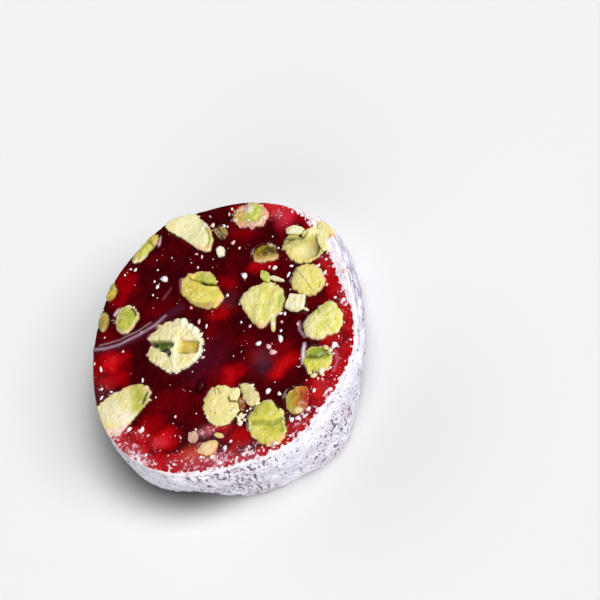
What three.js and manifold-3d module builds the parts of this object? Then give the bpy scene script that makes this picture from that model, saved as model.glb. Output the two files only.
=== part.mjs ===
// One slice of a hand-rolled turkish delight log: a soft pomegranate-red jelly full of whole
// pistachio kernels, with a crust of powdered sugar round its side. The knife has cut through
// the kernels, so they show on both faces. The slice lies flat on its lower cut face.
//
// Millimetres, +Z up. The origin is the middle of the base. Bearings are in degrees,
// anticlockwise from +X as seen from above.

import * as THREE from "three";
import { mergeVertices } from "three/addons/utils/BufferGeometryUtils.js";
import Module from "manifold-3d";

const wasm = await Module();
wasm.setup();

// ---- Driving dimensions -------------------------------------------------------------------

const THICKNESS = 14; // between the two cut faces
const CLEARANCE = 0.3; // between pieces that touch

// The roll is uneven: radii of the upper cut face at even bearings from 0, joined by a smooth
// closed curve, and how far the foot of the side stands out past it, in the same way.
const FACE_RADII = [
  27.7, 26.8, 27.2, 28.5, 28.3, 27.9, 27.7, 27.6, 29.2, 28.5, 28.6, 28.0,
  27.8, 28.0, 28.7, 29.1, 29.0, 28.6, 27.8, 27.4, 28.1, 28.2, 27.8, 28.1,
];
const FOOT_FLARE = [
  -4.6, -3.1, -2.2, -1.4, -0.9, -0.3, -0.2, -0.2, -0.2, -0.2, -0.1, 0,
  0, 0, -2.2, 1.4, 0.6, -1.8, -0.8, 0, -1.0, 0, -2.0, -4.4,
];
const BELLY = 0.4; // how far the side swells at mid height

const CRUST_THICKNESS = 0.7; // mean
const CRUST_VARIATION = 0.25; // thicker to the south-east, thinner to the north-west
const CRUST_HEAVY_BEARING = -50;
const CRUST_LIP_DROP = 0.75; // mean depth of the crust's upper edge below the cut face
const CRUST_FOOT_GAP = 0.4; // the crust stops short of the table
const CRUST_LUMPS = 0.2; // height of the lumps in its skin
const CRUST_LUMPINESS = 9; // more lumps round the side the larger it is

const FACE_RELIEF = 0.22; // slow waves of the cut face
const KERNEL_RELIEF = 0.22; // broken surface of a cut kernel
const SIDE_SWELL = 1.05; // a kernel is a little wider below the cut
const PAST_FACE = 3; // how far the cutter of a pocket reaches out of the face it opens in

const SLICE_SIDES = 60;
const CRUST_SIDES = 80;
const KERNEL_SIDES = 12;
const CHIP_SIDES = 6;

// Each pistachio kernel: the middle of its cut section, the section's half length and half
// width, the bearing of its length and how far it stands proud of the jelly. A kernel with
// "foot" runs through to the lower face, where it has that share of its upper section and
// has drifted sideways by "drift". The others end inside the jelly at "depth".
const KERNELS = {
  pistachio_wedge: [{ at: [-10.8, 23.3], half: [7.4, 2.7], turn: 146, rise: 0.25, depth: 4 }],
  pistachio_top_rim: [{ at: [3.4, 24.9], half: [3.7, 2.6], turn: 171, rise: 0.3, depth: 6 }],
  pistachio_broken: [
    { at: [14.9, 16.6], half: [4.1, 2.7], turn: 165, rise: 0.3, foot: 0.75, drift: [-0.4, -0.6] },
    { at: [18.1, 17.2], half: [2.9, 1.2], turn: 112, rise: 0.9, depth: 3 },
    { at: [13.4, 20.2], half: [2.3, 1.3], turn: 174, rise: 0.9, depth: 3 },
  ],
  pistachio_sliver: [{ at: [19.4, 20.4], half: [3.5, 1.0], turn: 137, rise: 0.4, depth: 2.5 }],
  pistachio_left_rim: [
    { at: [-20.6, 17.9], half: [2.6, 2.2], turn: 52, rise: 0.2, depth: 5 },
    { at: [-18.0, 21.2], half: [2.4, 1.9], turn: 52, rise: 0.1, depth: 4 },
  ],
  pistachio_cracked: [{ at: [-2.7, 21.6], half: [2.1, 1.4], turn: 138, rise: 0.1, depth: 4 }],
  pistachio_sunken: [{ at: [7.2, 16.5], half: [3.2, 2.3], turn: 170, rise: -0.35, depth: 7 }],
  pistachio_split: [
    { at: [-5.2, 9.6], half: [5.2, 3.7], turn: 148, rise: 0.4, foot: 0.75, drift: [1.2, 0.8] },
  ],
  pistachio_large: [
    { at: [8.1, 5.7], half: [4.6, 3.9], turn: 134, rise: 0.5, foot: 0.8, drift: [-1.0, -0.6] },
    { at: [7.3, 1.9], half: [1.9, 1.6], turn: 90, rise: 0.35, depth: 4 },
    { at: [8.9, 10.6], half: [2.6, 0.9], turn: 155, rise: 0.9, depth: 2 },
  ],
  pistachio_round: [
    { at: [16.9, 9.5], half: [3.6, 3.2], turn: 134, rise: 0.35, foot: 0.8, drift: [0.3, -0.2] },
  ],
  pistachio_heart: [
    { at: [20.3, 1.0], half: [4.0, 3.4], turn: 170, rise: 0.3, foot: 0.8, drift: [-2.0, 0.2] },
    { at: [21.7, 3.5], half: [1.9, 1.5], turn: 100, rise: 0.2, depth: 4 },
  ],
  pistachio_small: [
    { at: [-21.1, 4.7], half: [3.3, 2.7], turn: 113, rise: 0.15, foot: 0.9, drift: [-0.6, 0.4] },
  ],
  pistachio_hollow: [{ at: [-9.9, -1.9], half: [6.5, 5.4], turn: 152, rise: 0.5, depth: 6 }],
  pistachio_cupped: [
    { at: [20.0, -6.5], half: [3.0, 2.4], turn: 153, rise: 0.05, foot: 0.9, drift: [-1.8, 0.2] },
  ],
  pistachio_long: [{ at: [-19.8, -13.7], half: [6.0, 4.6], turn: 16, rise: 0.3, depth: 5 }],
  pistachio_disc: [
    { at: [1.1, -14.2], half: [4.2, 3.3], turn: 114, rise: 0.45, foot: 0.8, drift: [0.6, 1.4] },
  ],
  pistachio_shard: [{ at: [6.5, -11.7], half: [2.2, 1.4], turn: 135, rise: 0.5, depth: 2.5 }],
  pistachio_folded: [
    { at: [11.4, -19.1], half: [3.9, 3.5], turn: 120, rise: 0.3, foot: 0.75, drift: [-0.4, 0.8] },
    { at: [10.0, -15.6], half: [2.4, 2.0], turn: 120, rise: 0.6, depth: 4 },
  ],
  pistachio_glazed: [
    { at: [16.8, -14.2], half: [3.3, 2.5], turn: 93, rise: 0.0, foot: 0.9, drift: [-0.5, 0.5] },
  ],
  pistachio_pale: [{ at: [-0.9, -23.0], half: [2.7, 1.7], turn: 12, rise: 0.25, depth: 5 }],
  pistachio_west_upper: [{ at: [-25.7, 11.1], half: [1.9, 1.4], turn: 100, rise: 0.0, depth: 4 }],
  pistachio_west_lower: [{ at: [-26.4, 4.6], half: [2.1, 1.2], turn: 87, rise: 0.1, depth: 4 }],
};

// Kernels that show only on the lower face: the cut section there, and how far they reach up.
const UNDERSIDE_KERNELS = {
  pistachio_under_west: { at: [-12.5, -8.5], half: [3.9, 3.2], turn: 40, depth: 5 },
  pistachio_under_east: { at: [10.0, -5.0], half: [4.6, 3.0], turn: 10, depth: 5 },
  pistachio_under_north: { at: [2.5, 20.2], half: [4.0, 3.1], turn: 75, depth: 5 },
  pistachio_under_south: { at: [-9.5, -19.5], half: [5.4, 3.2], turn: 160, depth: 5 },
  pistachio_under_left: { at: [-14.0, 14.0], half: [3.6, 3.2], turn: 20, depth: 6 },
};

// Chips and crumbs that lie on the upper face, fused to the jelly.
const CHIPS = [
  { at: [14.7, 4.6], half: [1.9, 1.7], turn: 20, height: 1.0 },
  { at: [-2.0, 17.3], half: [1.2, 0.9], turn: 106, height: 0.8 },
  { at: [-4.2, -19.8], half: [1.2, 1.0], turn: 146, height: 0.7 },
  { at: [2.3, -20.3], half: [1.1, 0.6], turn: 156, height: 0.6 },
];

const BUBBLE = { at: [-3.3, -10.4], half: [1.2, 0.9], turn: 74, depth: 0.9 };

// ---- Form of the slice --------------------------------------------------------------------

const radians = THREE.MathUtils.degToRad;
const mix = THREE.MathUtils.lerp;
const alongHeavySide = (bearing) => Math.cos(bearing - radians(CRUST_HEAVY_BEARING));

// The radius at a bearing, on a smooth closed curve through evenly spaced radii.
function outlineRadius(radii, bearing) {
  const n = radii.length;
  const t = THREE.MathUtils.euclideanModulo(bearing / (2 * Math.PI), 1) * n;
  const i = Math.floor(t);
  const u = t - i;
  const [a, b, c, d] = [-1, 0, 1, 2].map((k) => radii[(i + k + n) % n]);
  return b + 0.5 * u * (c - a + u * (2 * a - 5 * b + 4 * c - d + u * (3 * (b - c) + d - a)));
}

const crustThickness = (bearing) => CRUST_THICKNESS + CRUST_VARIATION * alongHeavySide(bearing);
const crustLipHeight = (bearing) => THICKNESS - CRUST_LIP_DROP * (1 - alongHeavySide(bearing));

// The outside of the crust: the face outline and its crust above, the foot outline below.
function sideRadius(bearing, z) {
  const share = THREE.MathUtils.clamp(z / THICKNESS, 0, 1);
  const top = outlineRadius(FACE_RADII, bearing) + CLEARANCE + crustThickness(bearing);
  const foot = top + outlineRadius(FOOT_FLARE, bearing);
  return mix(foot, top, share * share * (3 - 2 * share)) + BELLY * Math.sin(Math.PI * share);
}

const jellyRadius = (bearing, z) => sideRadius(bearing, z) - CLEARANCE - crustThickness(bearing);

// The slow waves that the knife leaves on the face.
function faceWave(x, y) {
  const broad = Math.sin(0.31 * x + 1.3) * Math.cos(0.27 * y - 0.6);
  const fine = Math.sin(0.62 * x - 0.45 * y + 2.0);
  return FACE_RELIEF * (broad + 0.5 * fine);
}

// Small uneven bumps, different for each seed.
function roughness(x, y, seed) {
  const a = Math.sin(2.1 * x + 1.7 * y + 5.1 * seed);
  const b = Math.sin(1.9 * y - 2.6 * x + 3.3 * seed);
  return 0.6 * a + 0.4 * a * b;
}

// ---- Solids -------------------------------------------------------------------------------

// A three.js geometry as a closed solid. The profile of a lathe starts and ends on its axis,
// so the faces there that have no area are dropped.
function solidFrom(geometry) {
  const bare = geometry.clone().deleteAttribute("normal").deleteAttribute("uv");
  const merged = mergeVertices(bare, 1e-4);
  const corners = merged.index.array;
  const kept = [];
  for (let i = 0; i < corners.length; i += 3) {
    const [a, b, c] = [corners[i], corners[i + 1], corners[i + 2]];
    if (a !== b && b !== c && c !== a) kept.push(a, b, c);
  }
  return new wasm.Manifold(
    new wasm.Mesh({
      numProp: 3,
      vertProperties: new Float32Array(merged.attributes.position.array),
      triVerts: new Uint32Array(kept),
    }),
  );
}

function geometryFrom(solid) {
  const mesh = solid.getMesh();
  const points = new Float32Array(mesh.numVert * 3);
  for (let i = 0; i < mesh.numVert; i++)
    points.set(mesh.vertProperties.subarray(i * mesh.numProp, i * mesh.numProp + 3), i * 3);
  const geometry = new THREE.BufferGeometry()
    .setAttribute("position", new THREE.BufferAttribute(points, 3))
    .setIndex(new THREE.BufferAttribute(mesh.triVerts, 1));
  geometry.computeVertexNormals();
  return geometry;
}

// Turns a profile of [radius share, height] pairs round Z, with every point put where
// place(angle, radius share, height) says. The lathe makes one column of points for each step.
function turned(profile, sides, place) {
  const points = profile.map(([share, height]) => new THREE.Vector2(share, height));
  const geometry = new THREE.LatheGeometry(points, sides);
  const position = geometry.attributes.position;
  for (let i = 0; i < position.count; i++) {
    const step = Math.floor(i / profile.length) % sides;
    position.setXYZ(i, ...place((step * 2 * Math.PI) / sides, ...profile[i % profile.length]));
  }
  return solidFrom(geometry);
}

const joined = (solids) => solids.reduce((all, one) => all.add(one));

// The jelly before the kernels' pockets are cut: flat below, gently waved above.
function jellyCore() {
  const bottom = [[0, 0], [0.5, 0], [0.98, 0]];
  const side = [[1, 0.04], [1, 0.25], [1, 0.5], [1, 0.75], [1, 0.965]];
  const top = [[0.985, 1], [0.85, 1], [0.68, 1], [0.5, 1], [0.33, 1], [0.16, 1], [0, 1]];
  return turned([...bottom, ...side, ...top], SLICE_SIDES, (bearing, share, height) => {
    const z = height * THICKNESS;
    const radius = share * jellyRadius(bearing, z);
    const [x, y] = [radius * Math.cos(bearing), radius * Math.sin(bearing)];
    return [x, y, height === 1 ? z + faceWave(x, y) * (1 - share ** 4) : z];
  });
}

// The room a kernel has: the jelly's outline, carried up past the face.
function kernelRoom() {
  const profile = [[0, 0], [1, 0], [1, 0.5], [1, 1], [1, 1.15], [0, 1.15]];
  return turned(profile, SLICE_SIDES, (bearing, share, height) => {
    const radius = share * jellyRadius(bearing, height * THICKNESS);
    return [radius * Math.cos(bearing), radius * Math.sin(bearing), height * THICKNESS];
  });
}

// The crust: a band round the side with an uneven skin and an uneven upper edge.
function crust() {
  const outer = [[1, 0], [1, 0.12], [1, 0.3], [1, 0.5], [1, 0.7], [1, 0.88], [0.75, 1]];
  const inner = [[0, 0.97], [0, 0.6], [0, 0.3], [0.1, 0]];
  const loop = [...outer, ...inner, outer[0]];
  const profile = loop.map(([share, height]) => [share + 1, height]);
  return turned(profile, CRUST_SIDES, (bearing, ringShare, height) => {
    const share = ringShare - 1;
    const [east, north] = [Math.cos(bearing), Math.sin(bearing)];
    const ragged = roughness(CRUST_LUMPINESS * east, CRUST_LUMPINESS * north, 2);
    const lip = crustLipHeight(bearing) + 0.5 * CRUST_LUMPS * ragged;
    const z = mix(CRUST_FOOT_GAP, lip, height);
    const skin = roughness(CRUST_LUMPINESS * east + 0.4 * z, CRUST_LUMPINESS * north, 7);
    const thickness = crustThickness(bearing) + CRUST_LUMPS * skin;
    const radius = jellyRadius(bearing, z) + CLEARANCE + share * thickness;
    return [radius * east, radius * north, z];
  });
}

// A point of an ellipse at a place, with its length along a bearing.
function ellipsePoint({ at, half, turn }, angle, share, grow) {
  const along = (half[0] + grow) * share * Math.cos(angle);
  const across = (half[1] + grow) * share * Math.sin(angle);
  const [c, s] = [Math.cos(radians(turn)), Math.sin(radians(turn))];
  return [at[0] + along * c - across * s, at[1] + along * s + across * c];
}

// One lobe of a kernel below its cut section. The heights are shares of its depth. With
// "grow" it is the pocket for that kernel: wider all round, and open above the face.
function kernelLobe(lobe, seed, grow = 0) {
  const through = lobe.foot !== undefined;
  const depth = through ? THICKNESS : lobe.depth;
  const column = () => [[0, 0], [lobe.foot, 0], [mix(lobe.foot, SIDE_SWELL, 0.6), 0.4]];
  const low = through ? column() : [[0, 0], [0.55, 0.1], [0.9, 0.38]];
  const side = [[SIDE_SWELL, 0.72], [1, 0.95]];
  const top = grow ? [[1, 1], [0, 1]] : [[0.88, 1], [0.45, 1], [0, 1]];
  return turned([...low, ...side, ...top], KERNEL_SIDES, (angle, share, height) => {
    const uneven = 1 + 0.06 * Math.sin(3 * angle + seed) + 0.04 * Math.sin(5 * angle + 2 * seed);
    let [x, y] = ellipsePoint(lobe, angle, share * uneven, grow);
    const [driftX, driftY] = lobe.drift ?? [0, 0];
    x += driftX * (1 - height);
    y += driftY * (1 - height);
    if (grow && height === 0) return [x, y, through ? -PAST_FACE : THICKNESS - depth - grow];
    if (grow && height === 1) return [x, y, THICKNESS + PAST_FACE];
    const surface = lobe.rise + faceWave(x, y) + KERNEL_RELIEF * roughness(x, y, seed);
    const z = THICKNESS - depth * (1 - height);
    return [x, y, height === 1 ? z + surface : z + Math.min(0, surface) * height];
  });
}

// A kernel that shows below: the same dome, standing on the base.
function undersideKernel(lobe, seed, grow = 0) {
  const profile = [[0, 0], [1, 0], [SIDE_SWELL, 0.3], [0.9, 0.65], [0.55, 0.9], [0, 1]];
  return turned(profile, KERNEL_SIDES, (angle, share, height) => {
    const uneven = 1 + 0.06 * Math.sin(3 * angle + seed);
    const [x, y] = ellipsePoint(lobe, angle, share * uneven, grow);
    const z = height * (lobe.depth + grow);
    return [x, y, height === 0 && grow ? -PAST_FACE : z];
  });
}

// A small angular chip, sunk a little way into the face.
function chip(piece, seed) {
  const sunk = 0.4; // depth of its base below the face
  const profile = [[0, 0], [1, 0], [1, 0.6], [0.75, 1], [0, 1]];
  return turned(profile, CHIP_SIDES, (angle, share, height) => {
    const uneven = 1 + 0.15 * Math.sin(2 * angle + seed);
    const [x, y] = ellipsePoint(piece, angle, share * uneven, 0);
    return [x, y, THICKNESS + faceWave(x, y) - sunk + height * (piece.height + sunk)];
  });
}

function bubble() {
  const profile = [[0, 0], [0.6, 0.15], [0.95, 0.6], [1, 1], [1, 2], [0, 2]];
  return turned(profile, CHIP_SIDES + 4, (angle, share, height) => {
    const [x, y] = ellipsePoint(BUBBLE, angle, share, 0);
    return [x, y, THICKNESS + faceWave(x, y) - BUBBLE.depth * (1 - height)];
  });
}

// ---- The pieces ---------------------------------------------------------------------------

const materials = {
  jelly: new THREE.MeshStandardMaterial({ color: 0x6b0712, roughness: 0.18, metalness: 0 }),
  sugar_crust: new THREE.MeshStandardMaterial({ color: 0xebe6ef, roughness: 0.95, metalness: 0 }),
  pistachio: new THREE.MeshStandardMaterial({ color: 0xd5cf74, roughness: 0.7, metalness: 0 }),
};

const slice = new THREE.Group();

function addPiece(name, solid, material) {
  const mesh = new THREE.Mesh(geometryFrom(solid), material);
  mesh.name = name;
  slice.add(mesh);
}

const core = jellyCore();
const pockets = [];

Object.entries(KERNELS).forEach(([name, lobes], index) => {
  const seed = index + 1;
  const kernel = joined(lobes.map((lobe) => kernelLobe(lobe, seed)));
  pockets.push(...lobes.map((lobe) => kernelLobe(lobe, seed, CLEARANCE)));
  addPiece(name, kernel.intersect(kernelRoom()), materials.pistachio);
});

Object.entries(UNDERSIDE_KERNELS).forEach(([name, lobe], index) => {
  const seed = index + 40;
  pockets.push(undersideKernel(lobe, seed, CLEARANCE));
  addPiece(name, undersideKernel(lobe, seed), materials.pistachio);
});

const topped = joined([core, ...CHIPS.map((piece, index) => chip(piece, index))]);
addPiece("jelly", topped.subtract(joined([bubble(), ...pockets])), materials.jelly);
addPiece("sugar_crust", crust(), materials.sugar_crust);

// The uneven outline's own box is brought onto the origin.
const centre = new THREE.Box3().setFromObject(slice).getCenter(new THREE.Vector3());
slice.position.set(-centre.x, -centre.y, 0);

export default slice;
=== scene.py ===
# %% [markdown]
# # A slice of turkish delight
#
# The object is one thick slice of a hand-rolled log: dark pomegranate jelly, whole pistachio
# kernels that the knife has cut through, and a crust of powdered sugar round the side. The CAD
# model is loaded first and stays as it is. Each soft piece is then modelled again over its CAD
# solid, with the fine form and the finish that a faceted solid leaves out.

# %% Load the frame
import math

import bpy
import numpy as np
from mathutils import Matrix, Vector
from mathutils.bvhtree import BVHTree


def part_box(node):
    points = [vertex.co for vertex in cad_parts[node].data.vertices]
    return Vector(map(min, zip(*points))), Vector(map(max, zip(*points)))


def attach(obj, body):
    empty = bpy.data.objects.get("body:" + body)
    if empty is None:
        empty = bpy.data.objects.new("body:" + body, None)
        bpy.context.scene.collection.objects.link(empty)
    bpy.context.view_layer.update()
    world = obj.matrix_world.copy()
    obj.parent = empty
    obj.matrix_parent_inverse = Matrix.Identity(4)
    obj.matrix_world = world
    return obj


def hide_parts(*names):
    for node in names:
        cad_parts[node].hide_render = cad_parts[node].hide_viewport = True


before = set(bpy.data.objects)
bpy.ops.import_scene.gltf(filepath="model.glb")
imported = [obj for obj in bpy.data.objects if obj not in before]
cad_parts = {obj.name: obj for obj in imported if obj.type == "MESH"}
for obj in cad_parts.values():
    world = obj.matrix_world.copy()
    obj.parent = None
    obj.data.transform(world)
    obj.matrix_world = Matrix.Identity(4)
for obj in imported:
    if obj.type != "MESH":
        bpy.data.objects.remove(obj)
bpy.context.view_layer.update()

# %% [markdown]
# ## Measures
#
# All sizes below are millimetres. A place on the slice is given from the pole of the roll, the
# point that its bearings and radii are taken round. That point lies a little off the origin of
# the frame, because the frame is centred on the box of the uneven outline.

# %% Driving sizes
MM = 0.001
POLE = np.array([0.096, 0.171])  # the pole of the roll, in the frame
THICKNESS = 14.0  # between the two cut faces
FACE_RELIEF = 0.22  # slow waves that the knife left
EDGE_ROUND = 0.4  # the jelly's soft upper edge
POCKET_SHARE = 0.9  # how much of a kernel's outline its pocket in the jelly has at the face
POCKET_DEPTH = 2.5  # how deep the jelly drops away there
RIM_ARC = 28.0  # radius at which patterns that run round the side are measured
CRISP_ANGLE = 38  # degrees between faces of a broken nut from which an edge stays crisp

# %% [markdown]
# ## Small tools for shapes
#
# Food has no straight lines, so most shapes here start as a primitive with many even faces whose
# points are then pressed into place by a formula. A few helpers make such formulas short: a
# smooth step, smooth unevenness made of crossing waves, and broken planes like those of a nut
# that has been cut with a dull knife. A call of the last two ends with its seed, a whole number
# that brings the same unevenness every time.

# %% Formula helpers
def smoothstep(low, high, value):
    t = np.clip((value - low) / (high - low), 0, 1)
    return t * t * (3 - 2 * t)


def blend(a, b, share):
    """Between a and b. Colours are blended point by point."""
    share = np.asarray(share)
    if np.ndim(a) > 1 or np.ndim(b) > 1 or np.size(a) == 3 or np.size(b) == 3:
        share = share[..., None]
    return np.asarray(a) * (1 - share) + np.asarray(b) * share


def ripple(x, y, size, seed):
    """Smooth unevenness whose bumps are about `size` across, mostly between -1 and 1."""
    draw = np.random.default_rng(seed)
    total = np.zeros(np.broadcast(x, y).shape)
    waves = 8
    for _ in range(waves):
        bearing, phase = draw.uniform(0, 2 * math.pi, 2)
        pitch = size * draw.uniform(0.75, 1.6)
        total += np.sin(2 * math.pi * (x * math.cos(bearing) + y * math.sin(bearing)) / pitch + phase)
    return total / math.sqrt(2 * waves)


def facets(x, y, size, reach, seed):
    """Broken planes: every point takes the tilt of the nearest of some scattered centres."""
    draw = np.random.default_rng(seed)
    count = int((2 * reach / size) ** 2)
    centres = draw.uniform(-reach, reach, (count, 2))
    tilt, level = draw.normal(0, 0.7, (count, 2)), draw.normal(0, 0.35, count)
    apart = (x[:, None] - centres[:, 0]) ** 2 + (y[:, None] - centres[:, 1]) ** 2
    near = apart.argmin(1)
    away = np.stack([x, y], 1) - centres[near]
    return (away * tilt[near]).sum(1) / size + level[near]


def radius_at(radii, bearing):
    """The radius at a bearing, on a smooth closed curve through evenly spaced radii."""
    radii = np.asarray(radii, float)
    t = np.mod(bearing / (2 * math.pi), 1) * len(radii)
    i = np.floor(t).astype(int)
    u = t - i
    a, b, c, d = (radii[(i + k) % len(radii)] for k in (-1, 0, 1, 2))
    return b + 0.5 * u * (c - a + u * (2 * a - 5 * b + 4 * c - d + u * (3 * (b - c) + d - a)))


def tone(code):
    """A colour written as six hexadecimal digits, as the linear light that shaders use."""
    parts = np.array([int(code[i : i + 2], 16) / 255 for i in (0, 2, 4)])
    return np.where(parts <= 0.04045, parts / 12.92, ((parts + 0.055) / 1.055) ** 2.4)


# %% [markdown]
# ## Small tools for meshes
#
# Operators act on whatever is selected, and loading the frame leaves its nodes selected, so every
# new piece starts by deselecting all. The points of a mesh are read and written in millimetres.

# %% Mesh helpers
def deselect_all():
    bpy.ops.object.select_all(action="DESELECT")


def points_of(piece):
    flat = np.empty(len(piece.data.vertices) * 3, np.float32)
    piece.data.vertices.foreach_get("co", flat)
    return flat.reshape(-1, 3).astype(float)


def press(piece, x, y, z):
    """Puts every point of the piece at its place on the slice."""
    placed = np.stack([x + POLE[0], y + POLE[1], z], 1) * MM
    piece.data.vertices.foreach_set("co", placed.astype(np.float32).ravel())
    piece.data.update()


def write_value(piece, name, values):
    layer = piece.data.attributes.new(name, "FLOAT", "POINT")
    layer.data.foreach_set("value", np.asarray(values, np.float32))


def write_vector(piece, name, x, y, z):
    """A place for shaders to look up patterns at, given in millimetres."""
    layer = piece.data.attributes.new(name, "FLOAT_VECTOR", "POINT")
    layer.data.foreach_set("vector", (np.stack([x, y, z], 1) * MM).astype(np.float32).ravel())


def write_colour(piece, name, colours):
    layer = piece.data.color_attributes.new(name, "FLOAT_COLOR", "POINT")
    opaque = np.concatenate([np.clip(colours, 0, 1), np.ones((len(colours), 1))], 1)
    layer.data.foreach_set("color", opaque.astype(np.float32).ravel())


def puck(name, cells, wall_rows):
    """A disc of even quads over another, joined by a wall. Returns it with, for every point, its
    share of the radius, its bearing and its height from 0 to 1."""
    deselect_all()
    bpy.ops.mesh.primitive_grid_add(x_subdivisions=cells, y_subdivisions=cells, size=2, location=(0, 0, 1))
    piece = bpy.context.object
    piece.name = piece.data.name = name
    bpy.ops.object.transform_apply(location=True)
    bpy.ops.object.mode_set(mode="EDIT")
    bpy.ops.mesh.select_all(action="SELECT")
    bpy.ops.mesh.duplicate()
    bpy.ops.transform.translate(value=(0, 0, -1))
    bpy.ops.mesh.flip_normals()
    bpy.ops.mesh.select_all(action="SELECT")
    bpy.ops.mesh.region_to_loop()
    bpy.ops.mesh.bridge_edge_loops(number_cuts=wall_rows, interpolation="LINEAR")
    bpy.ops.mesh.select_all(action="SELECT")
    bpy.ops.mesh.normals_make_consistent(inside=False)
    bpy.ops.object.mode_set(mode="OBJECT")
    x, y, height = points_of(piece).T
    # The square's rings become circles: the longer of |x| and |y| is the share of the radius.
    share = np.maximum(np.abs(x), np.abs(y))
    safe = np.maximum(share, 1e-9)
    east = np.abs(x) >= np.abs(y)
    eighth = np.where(east, y, x) / safe * math.pi / 4
    bearing = np.where(
        east,
        np.where(x >= 0, eighth, math.pi - eighth),
        np.where(y >= 0, math.pi / 2 - eighth, -math.pi / 2 + eighth),
    )
    return piece, share, bearing, height


def shade(piece, angle=None):
    """Smooth shading, with edges sharper than the angle kept crisp."""
    deselect_all()
    piece.select_set(True)
    bpy.context.view_layer.objects.active = piece
    if angle is None:
        bpy.ops.object.shade_smooth()
    else:
        bpy.ops.object.shade_smooth_by_angle(angle=math.radians(angle))


def join(pieces, name):
    deselect_all()
    for piece in pieces:
        piece.select_set(True)
    bpy.context.view_layer.objects.active = pieces[0]
    if len(pieces) > 1:
        bpy.ops.object.join()
    pieces[0].name = pieces[0].data.name = name
    return pieces[0]


# %% [markdown]
# ## Measuring the CAD solids
#
# The new pieces follow the CAD solids, so their sizes are read from the frame. A ray sent at a
# solid from outside, level with the table, stops at its skin: rays from all bearings at a few
# heights give the form of the roll and the body of each kernel.

# %% Rays on the CAD nodes
def solid(*names):
    """One searchable surface made of CAD nodes, in millimetres from the pole."""
    corners, faces = [], []
    for name in names:
        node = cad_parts[name]
        start = len(corners)
        for corner in node.data.vertices:
            corners.append((corner.co.x / MM - POLE[0], corner.co.y / MM - POLE[1], corner.co.z / MM))
        faces += [[start + i for i in face.vertices] for face in node.data.polygons]
    return BVHTree.FromPolygons(corners, faces)


def skin_radii(surface, centre, bearings, z, start):
    """How far the surface lies from a centre at each bearing, seen from outside at height z."""
    found = []
    for bearing in bearings:
        out = Vector((math.cos(bearing), math.sin(bearing), 0))
        origin = Vector((centre[0], centre[1], z))
        hit = surface.ray_cast(origin + out * start, -out, start)[0]
        found.append((hit - origin).length if hit else np.nan)
    return np.array(found)


def fill_gaps(values):
    """Bearings where a ray met nothing take the nearest found value."""
    known = np.flatnonzero(~np.isnan(values))
    if len(known) == 0:
        return np.zeros(len(values))
    steps = np.arange(len(values))
    apart = np.abs(steps[:, None] - known[None, :])
    apart = np.minimum(apart, len(values) - apart)
    return values[known[apart.argmin(1)]]


KERNEL_NODES = sorted(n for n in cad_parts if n.startswith("pistachio_"))
roll = solid("jelly", *KERNEL_NODES)
SIDE_BEARINGS = np.radians(np.arange(0, 360, 1.5))
SIDE_HEIGHTS = np.array([0.3, 2.0, 4.0, 6.0, 8.0, 10.0, 12.0, 13.2])
BEYOND_ROLL, BEYOND_KERNEL = 40, 12  # how far out rays start, outside the roll and outside a kernel


def side_table():
    """Radii of the roll at each height and bearing. The thin gaps round kernels are bridged by
    taking the middle value of nearby bearings."""
    rows = []
    for z in SIDE_HEIGHTS:
        row = fill_gaps(skin_radii(roll, (0, 0), SIDE_BEARINGS, z, BEYOND_ROLL))
        beside = np.stack([np.roll(row, k) for k in range(-4, 5)])
        middle = np.median(beside, 0)
        rows.append(np.stack([np.roll(middle, k) for k in range(-2, 3)]).mean(0))
    return np.array(rows)


SIDE_RADII = side_table()


def look_up(table, heights, bearing, z):
    """A table of radii by height and bearing, read between its entries."""
    columns = table.shape[1]
    t = np.mod(bearing / (2 * math.pi), 1) * columns
    i = np.floor(t).astype(int) % columns
    u = t - np.floor(t)
    row = np.interp(z, heights, np.arange(len(heights)))
    low = np.minimum(np.floor(row).astype(int), len(heights) - 2)
    v = row - low
    at = lambda r: table[r, i] * (1 - u) + table[r, (i + 1) % columns] * u
    return at(low) * (1 - v) + at(low + 1) * v


def side_radius(bearing, z):
    return look_up(SIDE_RADII, SIDE_HEIGHTS, bearing, z)


print("roll radii at the face:", SIDE_RADII[-1].min().round(2), "to", SIDE_RADII[-1].max().round(2), "mm")

# %% [markdown]
# ## Marks
#
# Cut nuts and jelly are full of local events: a crack, a hollow, a greener patch, a pale rim. Each
# is written as a mark, an oval or a stroke with a soft edge that raises or lowers the surface and
# tints it. The same marks shape the mesh and paint it, so that form and colour agree.
# Some marks paint light: shade in creases and hollows, highlights on ridges and lips, and a sheen on the
# jelly.

# %% Marks and strokes
def oval(at, half, turn=0, up=0.0, colour=None, soft=0.4, share=1.0, power=2):
    """An oval with its half sizes, turned. `up` is how far it raises the surface, `share` how much it
    tints it, `soft` how gently its edge fades and `power` how square it is."""
    return dict(at=at, half=half, turn=turn, up=up, colour=colour, soft=soft, share=share, power=power)


def stroke(path, width, up=0.0, colour=None, soft=0.5, share=1.0):
    """A band along a path, as wide as `width` to either side."""
    return dict(path=path, width=width, up=up, colour=colour, soft=soft, share=share)


def distance_to_path(path, x, y):
    best = np.full(np.shape(x), 1e9)
    for (ax, ay), (bx, by) in zip(path[:-1], path[1:]):
        dx, dy = bx - ax, by - ay
        t = np.clip(((x - ax) * dx + (y - ay) * dy) / (dx * dx + dy * dy), 0, 1)
        best = np.minimum(best, np.hypot(x - ax - t * dx, y - ay - t * dy))
    return best


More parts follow.
